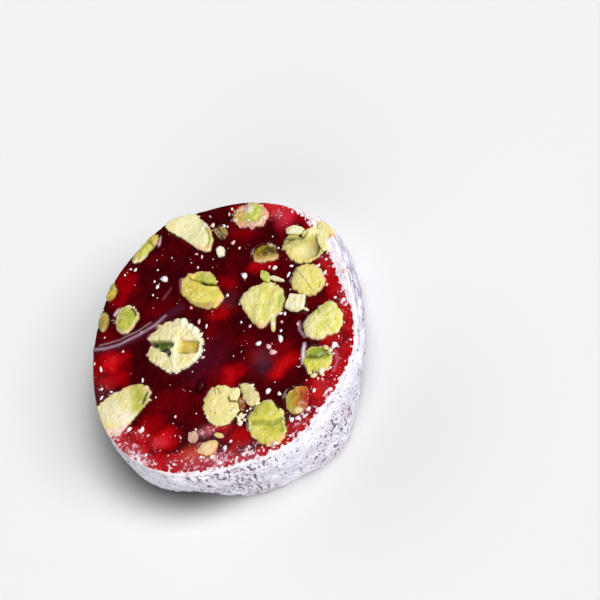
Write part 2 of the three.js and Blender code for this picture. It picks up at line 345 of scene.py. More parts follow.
def cover(mark, x, y):
    """How much of the mark there is at a place, from 0 to 1."""
    if "path" in mark:
        away = distance_to_path(mark["path"], x, y) / mark["width"]
    else:
        c, s = math.cos(math.radians(mark["turn"])), math.sin(math.radians(mark["turn"]))
        dx, dy = x - mark["at"][0], y - mark["at"][1]
        along, across = (dx * c + dy * s) / mark["half"][0], (dy * c - dx * s) / mark["half"][1]
        away = (np.abs(along) ** mark["power"] + np.abs(across) ** mark["power"]) ** (1 / mark["power"])
    return 1 - smoothstep(1 - mark["soft"], 1 + mark["soft"], away)


def raised(marks, x, y):
    return sum((m["up"] * cover(m, x, y) for m in marks if m["up"]), np.zeros(np.shape(x)))


def tinted(colours, marks, x, y):
    for m in marks:
        if m["colour"] is not None:
            colours = blend(colours, m["colour"], m["share"] * cover(m, x, y))
    return colours


# %% [markdown]
# ## The cut face
#
# The knife left slow waves in the face. The formula is the one that shapes the CAD solid, so that
# every piece that lies on the face sits at the right height.

# %% Waves of the face
def face_wave(x, y):
    broad = np.sin(0.31 * x + 1.3) * np.cos(0.27 * y - 0.6)
    fine = np.sin(0.62 * x - 0.45 * y + 2.0)
    return FACE_RELIEF * (broad + 0.5 * fine)


def edge_share(x, y):
    """How far out a place is: 0 at the pole, 1 at the outline of the face."""
    return np.hypot(x, y) / side_radius(np.arctan2(y, x), THICKNESS)


# %% [markdown]
# ## The pistachio kernels
#
# A kernel shows as a cut face with an outline of its own, a rim of thin skin, broken planes and
# sometimes a hollow between its two halves. Below the face its body goes down into the jelly.
# The outline is given by evenly spaced radii round the kernel's middle, twelve of them or twice
# that; the body below follows the CAD solid. Where a kernel reaches the side of the roll, the
# outline is cut off there.

# %% Colours of a cut pistachio
IVORY, CREAM, BUTTER = tone("F5EFD4"), tone("EFE5AC"), tone("E6DB8A")
LEMON, LIME, LEAF, GREEN = tone("E0D45E"), tone("D0CC54"), tone("B5BD3E"), tone("8FA82E")
OCHRE, OLIVE, MOSS, NIGHT = tone("C8AC34"), tone("8C8420"), tone("56601A"), tone("1C2208")
BLUSH, PEACH, ROSE, AMBER = tone("EBC2A4"), tone("EDB27A"), tone("E89A98"), tone("CE7428")
TAN, BARK = tone("B48A4C"), tone("6E4A1C")


# %% One kernel
TORN_EDGE = ((2.6, 0.1), (1.3, 0.1), (0.7, 0.07))  # size and depth of the waves in a torn outline
ROUND_DEPTH, ROUND_WIDTH = 0.32, 0.45  # how a cut face rounds down at its outline
HALVINGS = 14  # steps in the search for the place where a kernel reaches the side of the roll


class Kernel:
    """A cut kernel: its outline, the form of its cut face and its paint. It rises over the jelly and
    crowns in the middle. `rough` is the height of its broken planes, `wet` how much syrup covers it,
    `sink` how far the jelly goes down round it and `fray` how torn its outline is."""

    def __init__(self, at, radii, rise=0.35, crown=0.25, rough=0.13, tones=(BUTTER, LIME),
                 rim=(BLUSH, 0.6), marks=(), wet=0.0, sink=0.0, plates=(), fray=1.0):
        self.at, self.radii, self.rise, self.crown, self.rough = at, radii, rise, crown, rough
        self.tones, self.rim, self.marks, self.wet, self.sink = tones, rim, marks, wet, sink
        self.plates, self.fray = plates, fray
        self.seed = int(abs(at[0]) * 31 + abs(at[1]) * 57)
        self.reach = self._reach()

    def _reach(self):
        """The outline, made uneven and cut off at the side of the roll."""
        bearing = np.radians(np.arange(0, 360, 1.25))
        radius = radius_at(self.radii, bearing)
        edge_x, edge_y = radius * np.cos(bearing), radius * np.sin(bearing)
        for step, (size, depth) in enumerate(TORN_EDGE):
            radius = radius + self.fray * depth * ripple(edge_x, edge_y, size, self.seed + 20 + step)
        low, high = np.zeros(len(bearing)), radius
        inside = lambda r: edge_share(self.at[0] + r * np.cos(bearing), self.at[1] + r * np.sin(bearing)) < 1
        if inside(high).all():
            return radius
        for _ in range(HALVINGS):
            middle = (low + high) / 2
            keep = inside(middle)
            low, high = np.where(keep, middle, low), np.where(keep, high, middle)
        return low

    def outline(self, bearing):
        return look_up(np.stack([self.reach] * 2), np.array([0.0, 1.0]), bearing, np.zeros(np.shape(bearing)))

    def share(self, x, y):
        """How far out in the kernel a place is, and how far past its outline in millimetres."""
        dx, dy = x - self.at[0], y - self.at[1]
        away, limit = np.hypot(dx, dy), self.outline(np.arctan2(dy, dx))
        return away / np.maximum(limit, 0.01), away - limit

    def top(self, x, y):
        """Height of the cut face."""
        share, past = self.share(x, y)
        dx, dy = x - self.at[0], y - self.at[1]
        broken = 0.7 * facets(dx, dy, 1.7, 8, self.seed) + 0.45 * facets(dx, dy, 0.7, 8, self.seed + 2)
        broken = broken + 0.3 * ripple(dx, dy, 0.9, self.seed + 1)
        fade = 1 - smoothstep(0.75, 1.0, share)
        form = self.crown * (1 - np.minimum(share, 1) ** 2.5)
        form = form + raised(self.marks, dx, dy) * (0.35 + 0.65 * fade)
        form = form + self.rough * broken * (0.4 + 0.6 * fade)
        round_off = ROUND_DEPTH * (1 - np.sqrt(1 - np.clip(1 + past / ROUND_WIDTH, 0, 1) ** 2))
        return THICKNESS + face_wave(x, y) + self.rise + form - round_off

    def paint(self, x, y):
        share, _ = self.share(x, y)
        dx, dy = x - self.at[0], y - self.at[1]
        mottle = 0.5 + 0.5 * ripple(dx, dy, 1.8, self.seed + 5) + 0.25 * ripple(dx, dy, 0.7, self.seed + 6)
        colours = blend(self.tones[0], self.tones[1], np.clip(mottle, 0, 1))
        rim_colour, strength = self.rim
        uneven = 0.55 + 0.45 * ripple(dx, dy, 2.6, self.seed + 7)
        at_rim = smoothstep(0.84, 0.98, share) * strength * uneven * 1.6
        colours = blend(colours, rim_colour, np.clip(at_rim, 0, 1))
        return np.clip(tinted(colours, self.marks, dx, dy), 0, 1)


# %% [markdown]
# ### The kernels one by one
#
# Twenty-two kernels show on the upper face. An entry gives the kernel's middle, its radii from
# bearing 0 round, and what sets it apart. Its marks and plates are placed from the kernel's own
# middle, +x along bearing 0 and +y along bearing 90.

# %% Kernels of the north and the middle
KERNELS = {
    "pistachio_wedge": Kernel(
        (-10.8, 23.3), (5.3, 4.3, 3.8, 3.8, 3.4, 3.0, 3.0, 3.0, 3.2, 3.4, 3.8, 4.2,
                        3.8, 2.6, 2.2, 2.0, 1.9, 2.0, 2.3, 2.9, 4.4, 8.0, 7.7, 6.4),
        tones=(tone("F2ECC2"), tone("EAE3A4")), rim=(PEACH, 0.4), crown=0.1, rough=0.05, marks=[
            oval((6.6, -2.6), (0.7, 2.2), 8, 0.4, tone("EBDF7E"), share=0.8),
            stroke([(4.8, -0.5), (5.8, -1.8), (6.2, -3.3), (5.5, -4.6)], 0.35, -0.5, tone("A09838"),
                   share=0.6, soft=0.8),
            oval((5.3, 0.5), (1.0, 0.9), 150, 0.5, tone("F6E6E2"), share=0.95),
            oval((-2.6, 0.7), (1.3, 0.7), 150, 0, LIME, share=0.35, soft=0.8),
            stroke([(-6.0, -1.6), (-2.4, -2.4), (1.2, -4.4), (3.6, -5.0)], 0.35, 0, tone("EFCDB0"),
                   share=0.6),
            stroke([(6.6, -4.2), (5.3, -5.3), (3.2, -4.2)], 0.4, 0, tone("EDBE90"), share=0.7),
        ]),
    "pistachio_top_rim": Kernel(
        (3.4, 24.9), (4.0, 3.2, 2.7, 2.5, 2.5, 2.9, 3.5, 3.4, 3.1, 3.2, 3.5, 4.0), rise=0.12, rough=0.16,
        fray=2.0, tones=(tone("E8C4A8"), tone("C88C5C")), rim=(tone("D8847E"), 0.9), wet=0.35, marks=[
            oval((-1.8, -0.8), (1.7, 1.3), 0, 0, OCHRE, share=0.75, soft=0.7),
            oval((2.9, -1.0), (1.0, 2.0), 5, 0.05, ROSE, share=0.6, soft=0.8),
            stroke([(-2.2, -2.2), (-0.2, -2.9), (1.6, -3.0)], 0.55, 0, ROSE, share=0.5, soft=0.8),
            oval((1.0, 0.0), (1.8, 1.9), 10, 0.2, tone("C2C64C"), soft=0.3),
            stroke([(2.4, 1.0), (2.4, -1.0), (1.2, -1.8), (-0.2, -1.5)], 0.35, -0.1, LEAF, share=0.6,
                   soft=0.7),
            # Painted highlight: a pale spot on the green middle.
            oval((0.1, 0.8), (0.75, 0.9), 0, 0.15, tone("EEEAE4"), share=0.75, soft=0.6),
            oval((0.3, -2.5), (0.8, 0.35), -10, 0.15, CREAM, share=0.7),
            oval((-2.8, 0.9), (0.5, 0.5), 0, 0.15, CREAM, share=0.6),
            oval((2.4, -2.3), (0.6, 0.4), 30, 0.15, CREAM, share=0.7),
        ]),
    "pistachio_broken": Kernel(
        (15.2, 17.2), (4.6, 4.4, 3.7, 1.8, 2.0, 3.6, 3.9, 3.5, 3.6, 4.0, 4.4, 4.8), rise=0.5, crown=0.35,
        fray=1.7, tones=(tone("E2D68A"), tone("CEC45C")), rim=(CREAM, 0.5), marks=[
            oval((-1.8, -1.0), (2.2, 1.7), 20, 0.35, tone("DDD07C"), share=0.6),
            # Painted shade: these two strokes darken the crease under the cap.
            stroke([(-3.4, 0.4), (-1.6, -0.1), (0.4, 0.3)], 0.7, -0.3, tone("98902C"), share=0.6, soft=0.9),
            stroke([(-4.0, 1.2), (-2.1, 0.8), (0.2, 1.2), (1.0, 2.0)], 0.3, -0.8, tone("6A6418"),
                   share=0.8, soft=0.8),
            oval((1.7, 3.0), (1.6, 1.7), 20, 0.4, tone("F4EAA6"), share=0.9),
            oval((1.4, -1.9), (2.2, 1.4), 0, -0.5, tone("E6DAA4"), share=0.7, soft=0.7),
            # Painted shadow under the right flap: the brown in the bowl and the dark stroke beside it.
            oval((2.5, -0.9), (1.2, 1.8), 0, -0.8, tone("9C8444"), share=0.65, soft=0.9),
            stroke([(2.9, 1.2), (3.4, -0.8), (3.0, -2.4)], 0.4, -0.7, tone("7A6428"), share=0.7, soft=0.8),
            stroke([(-2.2, -2.8), (0.7, -3.6), (3.2, -3.4)], 0.5, 0, tone("EBD07E"), share=0.6),
        ], plates=[
            dict(at=(-1.8, 3.0), half=(1.95, 1.0), turn=-6, thick=1.1, lift=0.5, tilt=(0.05, -0.05),
                 colour=IVORY, dusk=CREAM, power=2.4),
            dict(at=(4.0, 0.9), half=(3.3, 0.95), turn=104, thick=0.9, lift=0.55, bow=-0.6,
                 tilt=(-0.1, 0.08), colour=tone("F3EAB2"), dusk=tone("E9DF92"), power=2.4),
        ]),
    "pistachio_left_rim": Kernel(
        (-19.3, 19.7), (2.2, 2.7, 3.4, 3.8, 3.2, 1.5, 1.0, 1.0, 1.0, 1.0, 1.0, 1.0,
                        1.0, 1.2, 2.4, 3.4, 3.4, 2.7, 2.2, 1.9, 1.8, 1.6, 1.5, 1.9), rise=0.15,
        tones=(tone("D8C66C"), tone("B0A84A")), rim=(BLUSH, 0.6), fray=1.6, marks=[
            oval((2.4, 2.0), (1.2, 0.7), 50, 0.1, OCHRE, share=0.8),
            stroke([(2.1, 0.3), (1.3, 1.2)], 0.25, -0.4, BARK, share=0.75),
            oval((0.7, -0.4), (1.5, 0.8), 45, 0.15, tone("C6CA4E"), share=0.8),
            stroke([(2.2, -0.9), (1.1, -1.5), (-0.1, -2.6), (-1.6, -2.8)], 0.4, 0.1, CREAM, share=0.75),
        ]),
    "pistachio_cracked": Kernel(
        (-2.7, 21.6), (1.6, 1.4, 1.3, 1.3, 1.4, 1.7, 1.4, 1.1, 1.2, 1.4, 1.7, 1.7), rise=0.0, crown=0.05,
        tones=(tone("4C2A10"), tone("3A1408")), rim=(tone("36080A"), 1.0), rough=0.1, marks=[
            oval((-0.4, -0.2), (1.35, 0.5), 124, 0.35, tone("A4824C"), soft=0.4),
            oval((-0.4, -0.2), (0.8, 0.18), 124, -0.2, MOSS, share=0.8),
            oval((0.8, 0.3), (1.2, 0.45), 129, 0.35, tone("B49058"), soft=0.4),
            oval((0.75, 0.25), (0.65, 0.16), 129, -0.2, OLIVE, share=0.8),
            stroke([(-0.1, 1.1), (0.1, -0.1), (0.6, -1.3)], 0.15, -0.35, tone("1E0E04")),
            oval((1.5, -1.3), (0.8, 0.4), -35, 0.1, tone("9A5040")),
        ]),
    "pistachio_sunken": Kernel(
        (7.2, 16.5), (2.8, 2.5, 2.2, 1.8, 1.8, 2.0, 2.5, 2.8, 2.5, 2.3, 2.6, 3.6), rise=-0.3, crown=0.45,
        tones=(tone("86660E"), tone("64500C")), rim=(tone("8A3E14"), 0.8), wet=0.6, sink=0.1, rough=0.05,
        marks=[
            stroke([(-2.3, -0.6), (-0.9, 0.8), (0.8, 1.5)], 0.5, 0.1, tone("A48C1C"), share=0.7, soft=0.8),
            oval((1.4, 0.0), (1.3, 0.8), -20, 0, tone("34300A"), share=0.8, soft=0.7),
            oval((2.3, 0.7), (0.6, 0.5), 0, 0, tone("6A4416"), share=0.7),
            stroke([(-2.6, -1.1), (-0.7, -1.8), (2.6, -1.6)], 0.6, 0, tone("DDAA5E"), share=0.85, soft=0.9),
            stroke([(-2.2, -1.5), (0.0, -2.1), (2.4, -1.9)], 0.3, 0, tone("EED0A2"), share=0.7, soft=0.9),
            # Painted highlight.
            oval((1.5, 1.3), (0.4, 0.55), -30, 0.3, tone("EBBE92"), share=0.85),
        ]),
    "pistachio_sliver": Kernel(
        (19.2, 20.1), (1.2, 1.0, 1.2, 1.7, 2.4, 1.7, 1.2, 1.0, 1.2, 1.7, 2.6, 1.7), rise=0.05,
        tones=(CREAM, LEMON), rim=(ROSE, 0.7), plates=[
            dict(at=(-2.6, 2.6), half=(2.1, 0.7), turn=146, thick=0.8, lift=0.15, tilt=(0.03, -0.05),
                 colour=tone("F3DDE0"), dusk=tone("FBF3F4"), power=2.4),
            dict(at=(0.6, 0.0), half=(2.4, 0.8), turn=141, thick=0.9, lift=0.32, tilt=(0.0, -0.04),
                 colour=tone("F4E8AC"), dusk=tone("EADB94"), power=2.6),
            dict(at=(2.0, -1.5), half=(0.6, 0.45), turn=141, thick=0.8, lift=0.25, colour=PEACH,
                 dusk=BLUSH),
        ]),
    "pistachio_split": Kernel(
        (-5.2, 9.6), (3.4, 3.1, 3.7, 3.8, 4.3, 4.9, 4.4, 3.6, 3.5, 3.7, 4.8, 5.3), rise=0.45, crown=0.4,
        tones=(tone("EADA6C"), tone("D6CA54")), rim=(PEACH, 0.7), fray=1.3, marks=[
            oval((0.9, 2.2), (1.9, 0.9), -15, 0.15, tone("A8B43A"), share=0.7),
            stroke([(-2.7, 2.2), (-1.3, 1.7), (-0.1, 1.2)], 0.2, -0.35, OLIVE, share=0.7),
            stroke([(-0.1, 1.2), (1.5, 0.6), (3.1, 0.6)], 0.25, -1.1, tone("262E06"), soft=0.6),
            stroke([(0.2, 1.7), (1.6, 1.1), (2.8, 1.1)], 0.22, 0, GREEN, share=0.5, soft=0.8),
            oval((-2.1, -0.2), (1.9, 1.7), 0, 0, tone("DABE48"), share=0.6, soft=0.7),
            stroke([(-5.0, 0.2), (-4.9, 1.8), (-4.1, 3.0), (-2.6, 3.9)], 0.45, 0, BLUSH, share=0.85),
            oval((-0.4, -1.9), (2.0, 1.1), -15, 0.15, tone("E6D86A"), share=0.7),
            oval((2.6, -1.5), (1.6, 1.2), -40, 0.05, tone("B9BC40"), share=0.4, soft=0.8),
            stroke([(-1.8, -3.2), (0.6, -3.6), (2.8, -3.5)], 0.5, -0.1, tone("A8842A"), share=0.75),
        ]),
    "pistachio_large": Kernel(
        (8.1, 5.7), (4.5, 4.4, 4.3, 4.0, 3.9, 4.5, 4.5, 3.9, 4.1, 5.1, 4.0, 4.2), rise=0.55, crown=0.45,
        tones=(tone("EBE296"), tone("D8D264")), rim=(BLUSH, 0.5), rough=0.1, fray=1.3, marks=[
            oval((-2.2, 1.2), (1.9, 1.7), 20, 0.08, CREAM, share=0.55, soft=0.7),
            stroke([(0.3, 3.7), (-0.8, -3.8)], 0.5, 0.12, LIME, share=0.4, soft=0.8),
            stroke([(-1.5, 1.6), (-2.0, -2.4)], 0.3, -0.06, LEAF, share=0.2, soft=0.9),
            stroke([(2.0, 3.4), (1.0, -3.4)], 0.4, -0.06, LEAF, share=0.2, soft=0.9),
            oval((1.4, 1.4), (1.4, 1.2), 20, 0.05, LEMON, share=0.4),
            oval((3.9, -0.4), (0.8, 2.2), 5, -0.2, tone("9AAE34"), share=0.6),
            oval((-1.0, -2.6), (0.9, 0.8), 0, 0.05, CREAM, share=0.4),
            oval((-0.4, -4.8), (1.0, 0.5), 0, 0, PEACH, share=0.85),
            stroke([(-4.3, 1.4), (-4.4, -0.6), (-3.6, -2.4)], 0.35, 0, BLUSH, share=0.85),
        ], plates=[
            dict(at=(0.1, 5.3), half=(1.5, 0.9), turn=122, thick=0.8, lift=0.4, tilt=(0.1, 0.1),
                 colour=tone("A6B23A"), dusk=tone("CBC858"), power=1.7),
            dict(at=(2.4, 4.6), half=(2.1, 0.5), turn=-20, thick=0.6, lift=0.6, tilt=(0.05, 0.0),
                 colour=CREAM, dusk=IVORY, power=1.5),
            dict(at=(2.5, -3.8), half=(2.5, 0.5), turn=96, thick=0.7, lift=0.5, tilt=(0.0, 0.05),
                 colour=IVORY, dusk=LIME, power=1.9),
        ]),
}

# %% Kernels of the east, the south and the west
KERNELS.update({
    "pistachio_round": Kernel(
        (16.9, 9.5), (3.5, 3.35, 3.35, 3.4, 3.6, 3.4, 3.25, 3.1, 3.0, 3.1, 3.5, 3.6), rise=0.4, crown=0.35,
        tones=(tone("E8DA86"), LEMON), rim=(PEACH, 0.6), rough=0.08, marks=[
            oval((-1.2, 0.4), (1.6, 1.9), 20, 0.1, CREAM, share=0.4),
            stroke([(-2.3, 2.2), (-0.4, 0.1), (1.5, -2.5)], 0.11, -0.15, tone("A09A38"), share=0.6),
            stroke([(0.4, 2.6), (0.9, 0.4)], 0.08, -0.08, OLIVE, share=0.3),
            stroke([(2.7, -0.6), (2.6, -1.7)], 0.14, -0.15, OLIVE, share=0.7),
            oval((1.4, -2.5), (0.7, 0.4), 0, -0.1, tone("A8B038"), share=0.6),
            stroke([(1.2, 3.2), (2.8, 1.9), (3.4, 0.4)], 0.28, 0, BLUSH, share=0.75),
        ]),
    "pistachio_heart": Kernel(
        (20.3, 1.0), (4.5, 4.2, 4.3, 3.1, 2.4, 2.6, 3.2, 3.6, 3.95, 3.85, 3.5, 4.5), rise=0.4, crown=0.35,
        tones=(tone("F0E8A6"), tone("D8D468")), rim=(CREAM, 0.5), rough=0.11, fray=1.3, marks=[
            oval((1.8, 2.3), (1.5, 1.2), 40, 0.1, LEAF, share=0.35, soft=0.8),
            oval((-1.5, -0.6), (1.5, 1.5), 0, 0.1, CREAM, share=0.6),
            stroke([(-0.9, 2.6), (-0.3, 1.1)], 0.25, -0.3, LEAF, share=0.5),
            oval((0.6, -1.2), (1.6, 0.9), 20, -0.1, LIME, share=0.5),
            oval((3.6, -0.4), (0.5, 1.6), 5, 0, LEMON, share=0.8),
            stroke([(-3.3, 0.2), (-2.9, -2.2), (-1.5, -3.6), (0.4, -3.7)], 0.3, 0, BLUSH, share=0.75),
        ]),
    "pistachio_small": Kernel(
        (-21.1, 4.7), (2.7, 2.7, 2.7, 3.1, 2.9, 2.4, 2.4, 2.7, 2.9, 3.2, 2.9, 2.6), rise=0.2, crown=0.35,
        tones=(tone("A9B03C"), tone("BDBE4C")), rim=(BLUSH, 0.9), rough=0.09, marks=[
            oval((-0.3, -1.0), (1.0, 1.0), 0, 0.1, LIME, share=0.6),
            stroke([(0.7, 2.3), (1.5, 1.6), (2.1, 0.5)], 0.22, -0.5, MOSS, share=0.85),
            stroke([(-2.2, -0.6), (-2.1, 1.2), (-1.2, 2.7), (0.2, 2.9)], 0.35, 0.1, tone("E9DCA8"),
                   share=0.8),
            stroke([(-2.0, -1.9), (-0.4, -3.0), (1.4, -2.8)], 0.3, 0, tone("E5C9A0"), share=0.8),
        ]),
    "pistachio_hollow": Kernel(
        (-9.9, -1.9), (6.1, 5.9, 5.6, 5.5, 5.6, 5.8, 5.6, 5.5, 5.6, 5.6, 6.0, 5.8,
                       4.9, 5.6, 5.4, 4.9, 4.8, 4.9, 5.3, 5.5, 5.5, 5.7, 6.3, 6.4), rise=0.6, crown=0.35,
        tones=(tone("EFE5B8"), tone("E6DA96")), rim=(tone("F2E8C8"), 0.7), rough=0.14, fray=2.0, marks=[
            oval((-0.6, 3.2), (3.6, 1.7), -8, 0.1, tone("EDE3AE"), share=0.6),
            oval((-4.0, -1.9), (1.2, 1.3), 10, 0, tone("C6C86A"), share=0.5),
            # Painted shade in the holes: the left hole is dark green, with near-black shade at its bottom and
            # in the notch to the left edge.
            oval((-2.2, 0.3), (2.4, 0.75), -6, -1.6, tone("4C6A1C"), soft=0.2, power=3),
            stroke([(-2.3, -0.6), (-0.9, -1.0), (-0.5, -1.8)], 0.45, -1.0, NIGHT, soft=0.35),
            stroke([(-6.2, 1.2), (-4.4, 0.8)], 0.4, -1.1, tone("2A1808"), share=0.95),
            oval((3.5, -0.5), (2.1, 1.3), -5, -1.0, tone("C9AE3C"), soft=0.14, power=5),
            # Painted shade along the lower edge of the right hole.
            stroke([(1.7, -1.5), (3.0, -1.6)], 0.25, -0.3, OLIVE, share=0.8),
            stroke([(0.2, 1.0), (0.7, -2.0), (1.0, -4.9)], 0.6, 0.25, tone("F2EBC6"), share=0.8, soft=0.8),
            stroke([(1.6, 5.0), (4.2, 3.4), (5.5, 1.6)], 0.8, 0.25, tone("F6F0DC"), share=0.85, soft=0.8),
            stroke([(6.0, 0.4), (6.2, -1.6), (5.3, -3.0)], 0.4, 0.2, tone("F6EEDC"), share=0.85, soft=0.8),
            oval((3.6, -3.1), (1.7, 0.9), 30, 0.05, tone("E9DC92"), share=0.6),
            stroke([(-5.2, 2.4), (-3.2, 4.5)], 0.4, 0, PEACH, share=0.6),
            stroke([(-5.5, -0.6), (-4.5, -2.8), (-2.6, -4.3)], 0.35, 0, BLUSH, share=0.7),
        ]),
    "pistachio_cupped": Kernel(
        (20.0, -6.5), (3.2, 3.1, 2.8, 2.65, 2.9, 2.65, 2.5, 2.6, 2.7, 2.6, 3.0, 3.3), rise=0.2, crown=0.25,
        tones=(tone("CDCB4A"), tone("DAD258")), rim=(BLUSH, 0.7), fray=1.7, marks=[
            # Painted shadow in the cup: its upper part is darker green than the kernel.
            stroke([(-1.5, 1.2), (0.2, 1.5), (1.7, 1.4)], 1.0, -0.9, tone("7C9024"), share=0.85, soft=0.9),
            stroke([(-1.9, 0.7), (-0.6, 0.6), (0.6, 0.5)], 0.35, -0.4, tone("4A5A10"), share=0.8, soft=0.9),
            stroke([(-2.0, -0.4), (0.5, -0.4), (2.6, -0.2)], 0.5, 0.2, tone("C6CC40"), share=0.8, soft=0.8),
            oval((0.4, -1.5), (2.0, 0.8), 5, 0.15, tone("DED65C"), share=0.8, soft=0.7),
            stroke([(-1.9, 2.4), (0.2, 2.65), (1.9, 2.3)], 0.22, 0.2, tone("D9C878"), share=0.7),
        ], plates=[
            dict(at=(1.8, 2.1), half=(0.6, 0.4), turn=-30, thick=0.6, lift=0.4, colour=CREAM, dusk=BLUSH),
            dict(at=(2.7, 1.4), half=(0.5, 0.35), turn=20, thick=0.5, lift=0.4, colour=BLUSH, dusk=CREAM),
            dict(at=(-1.1, -2.6), half=(0.45, 0.35), turn=0, thick=0.5, lift=0.3, colour=CREAM, dusk=LEMON),
            dict(at=(-0.2, -3.2), half=(0.75, 0.5), turn=10, thick=0.6, lift=0.25, colour=BLUSH,
                 dusk=CREAM),
            dict(at=(1.3, -2.9), half=(0.5, 0.35), turn=40, thick=0.5, lift=0.25, colour=PEACH, dusk=CREAM),
        ]),
    "pistachio_long": Kernel(
        (-19.8, -13.7), (4.9, 6.8, 5.3, 3.9, 3.8, 4.2, 5.5, 5.4, 5.8, 5.3, 4.1, 3.8), rise=0.35, crown=0.3,
        tones=(tone("EEE2A6"), tone("E6D892")), rim=(BLUSH, 0.7), rough=0.07, fray=1.6, marks=[
            stroke([(3.0, 3.9), (3.4, 1.6), (3.7, -0.4)], 1.3, -0.05, tone("B9B53C"), share=0.9, soft=0.8),
            oval((4.6, 1.6), (1.1, 1.7), 10, 0, tone("A2A02C"), share=0.8, soft=0.9),
            stroke([(5.4, 2.6), (4.9, 1.6), (4.7, 0.6)], 0.26, -0.6, tone("4A4A10"), soft=0.7),
            stroke([(5.9, 2.3), (5.6, 1.2)], 0.2, -0.3, MOSS, share=0.7, soft=0.7),
            stroke([(6.4, 2.8), (6.3, 0.8), (4.8, -0.8)], 0.35, 0.15, BLUSH, share=0.9),
            oval((1.2, -2.2), (1.7, 1.3), 10, 0.05, tone("EFE6DC"), share=0.7, soft=0.95),
            stroke([(-4.2, 1.8), (-1.6, 3.5), (1.8, 4.5)], 0.4, 0, PEACH, share=0.7),
            stroke([(-2.5, -4.9), (-0.5, -4.9), (1.8, -4.1)], 0.4, 0, tone("F0C4C8"), share=0.75),
            oval((-2.4, -0.6), (2.4, 2.2), 0, 0, IVORY, share=0.45),
        ]),
    "pistachio_disc": Kernel(
        (1.1, -14.2), (3.9, 3.8, 3.7, 3.8, 3.6, 3.4, 3.1, 3.15, 3.7, 4.3, 4.6, 4.4), rise=0.5, crown=0.3,
        tones=(tone("E8D788"), tone("ECDF9C")), rim=(CREAM, 0.5), rough=0.08, fray=1.3, marks=[
            stroke([(-1.2, 2.9), (-0.7, 1.8)], 0.12, -0.2, tone("7A8A2C"), share=0.8),
            stroke([(-0.6, 3.1), (0.1, 2.0)], 0.12, -0.2, tone("7A8A2C"), share=0.8),
            stroke([(1.9, 1.2), (2.2, 0.3), (4.2, 0.2)], 0.2, -0.5, MOSS, share=0.8),
            oval((-1.8, 0.2), (1.2, 1.9), 10, 0.05, LEMON, share=0.4),
            oval((0.6, -2.4), (1.9, 1.2), 0, 0.05, BUTTER, share=0.6),
            oval((-0.4, -2.0), (0.3, 0.15), 20, -0.15, OLIVE, share=0.7),
            stroke([(2.6, -3.4), (3.6, -2.2)], 0.14, -0.2, LEAF, share=0.6),
        ], plates=[
            dict(at=(3.1, 1.8), half=(0.95, 1.2), turn=-5, thick=0.8, lift=0.6, colour=tone("F2EAAE"),
                 dusk=CREAM, power=4),
            dict(at=(4.9, -0.5), half=(0.55, 1.4), turn=5, thick=0.4, lift=0.12, colour=tone("7A3618"),
                 dusk=tone("A4582E"), power=2.4),
            dict(at=(4.6, -2.9), half=(1.0, 0.42), turn=70, thick=0.5, lift=0.2, colour=IVORY, dusk=CREAM,
                 power=1.8),
        ]),
    "pistachio_shard": Kernel(
        (6.5, -11.7), (1.6, 1.2, 1.1, 1.3, 1.6, 1.5, 1.2, 1.2, 1.4, 2.1, 2.6, 2.3), rise=0.4,
        tones=(tone("E6D694"), tone("DCCB84")), rim=(IVORY, 0.5), fray=1.8, marks=[], plates=[
            dict(at=(1.2, -1.6), half=(2.0, 1.45), turn=-46, thick=0.9, lift=0.55, tilt=(0.06, 0.05),
                 colour=tone("E9DAA4"), dusk=tone("DCC98C"), power=2.5),
            dict(at=(0.6, 0.5), half=(1.0, 0.35), turn=25, thick=0.5, lift=0.4, colour=tone("F0E4BC"),
                 dusk=IVORY, power=1.7),
            dict(at=(-1.1, -2.3), half=(0.5, 1.0), turn=0, thick=0.5, lift=0.12, colour=BARK, dusk=AMBER),
            dict(at=(2.6, -3.0), half=(0.55, 0.4), turn=20, thick=0.5, lift=0.4, colour=IVORY, dusk=CREAM),
        ]),
    "pistachio_folded": Kernel(
        (11.4, -19.1), (3.6, 3.5, 3.7, 5.0, 4.6, 4.2, 3.8, 3.4, 3.4, 3.7, 4.3, 4.3), rise=0.5, crown=0.45,
        tones=(tone("D2CE50"), tone("BBBC3C")), rim=(CREAM, 0.5), rough=0.09, fray=1.3, marks=[
            oval((-0.4, 3.0), (2.3, 1.6), 10, 0.25, tone("C6C03A"), share=0.6),
            oval((-1.6, 3.0), (1.2, 1.0), 30, 0, tone("B8A63A"), share=0.5),
            # Painted highlights along the upper flap's edge and ridge.
            stroke([(-2.8, 1.9), (-1.0, 2.1), (0.6, 1.3)], 0.45, 0, tone("D8D04C"), share=0.6),
            stroke([(-3.5, 1.3), (-1.5, 1.4), (0.6, 1.1), (1.9, 1.5), (2.6, 2.5)], 0.5, 0.25,
                   tone("E0DA62"), share=0.6, soft=0.9),
            # Painted shade in the crease under the flap and at the right edge.
            stroke([(-2.9, 0.6), (-1.2, 0.6), (0.4, 0.2), (1.6, 0.4), (2.9, 1.1)], 0.4, -0.35,
                   tone("7C862A"), share=0.65, soft=0.9),
            oval((3.1, -0.6), (0.5, 1.6), 5, -0.3, tone("8E9A2A"), share=0.6, soft=0.8),
            oval((-1.8, -1.3), (1.4, 1.4), 0, 0.15, tone("EADF7C"), share=0.8, soft=0.7),
            oval((0.6, -2.3), (2.0, 1.0), -5, 0.1, tone("E0D660"), share=0.8, soft=0.7),
            stroke([(-1.3, -0.7), (0.9, -0.4), (2.5, -1.0)], 0.16, -0.15, LEAF, share=0.5),
            stroke([(3.6, -2.0), (2.6, -3.2), (1.0, -3.6)], 0.35, 0, PEACH, share=0.75),
            stroke([(-3.6, 0.7), (-3.5, -1.4), (-2.3, -2.9)], 0.3, 0, CREAM, share=0.8),
            oval((0.0, 4.7), (0.7, 0.4), 0, 0.1, BLUSH, share=0.8),
        ], plates=[
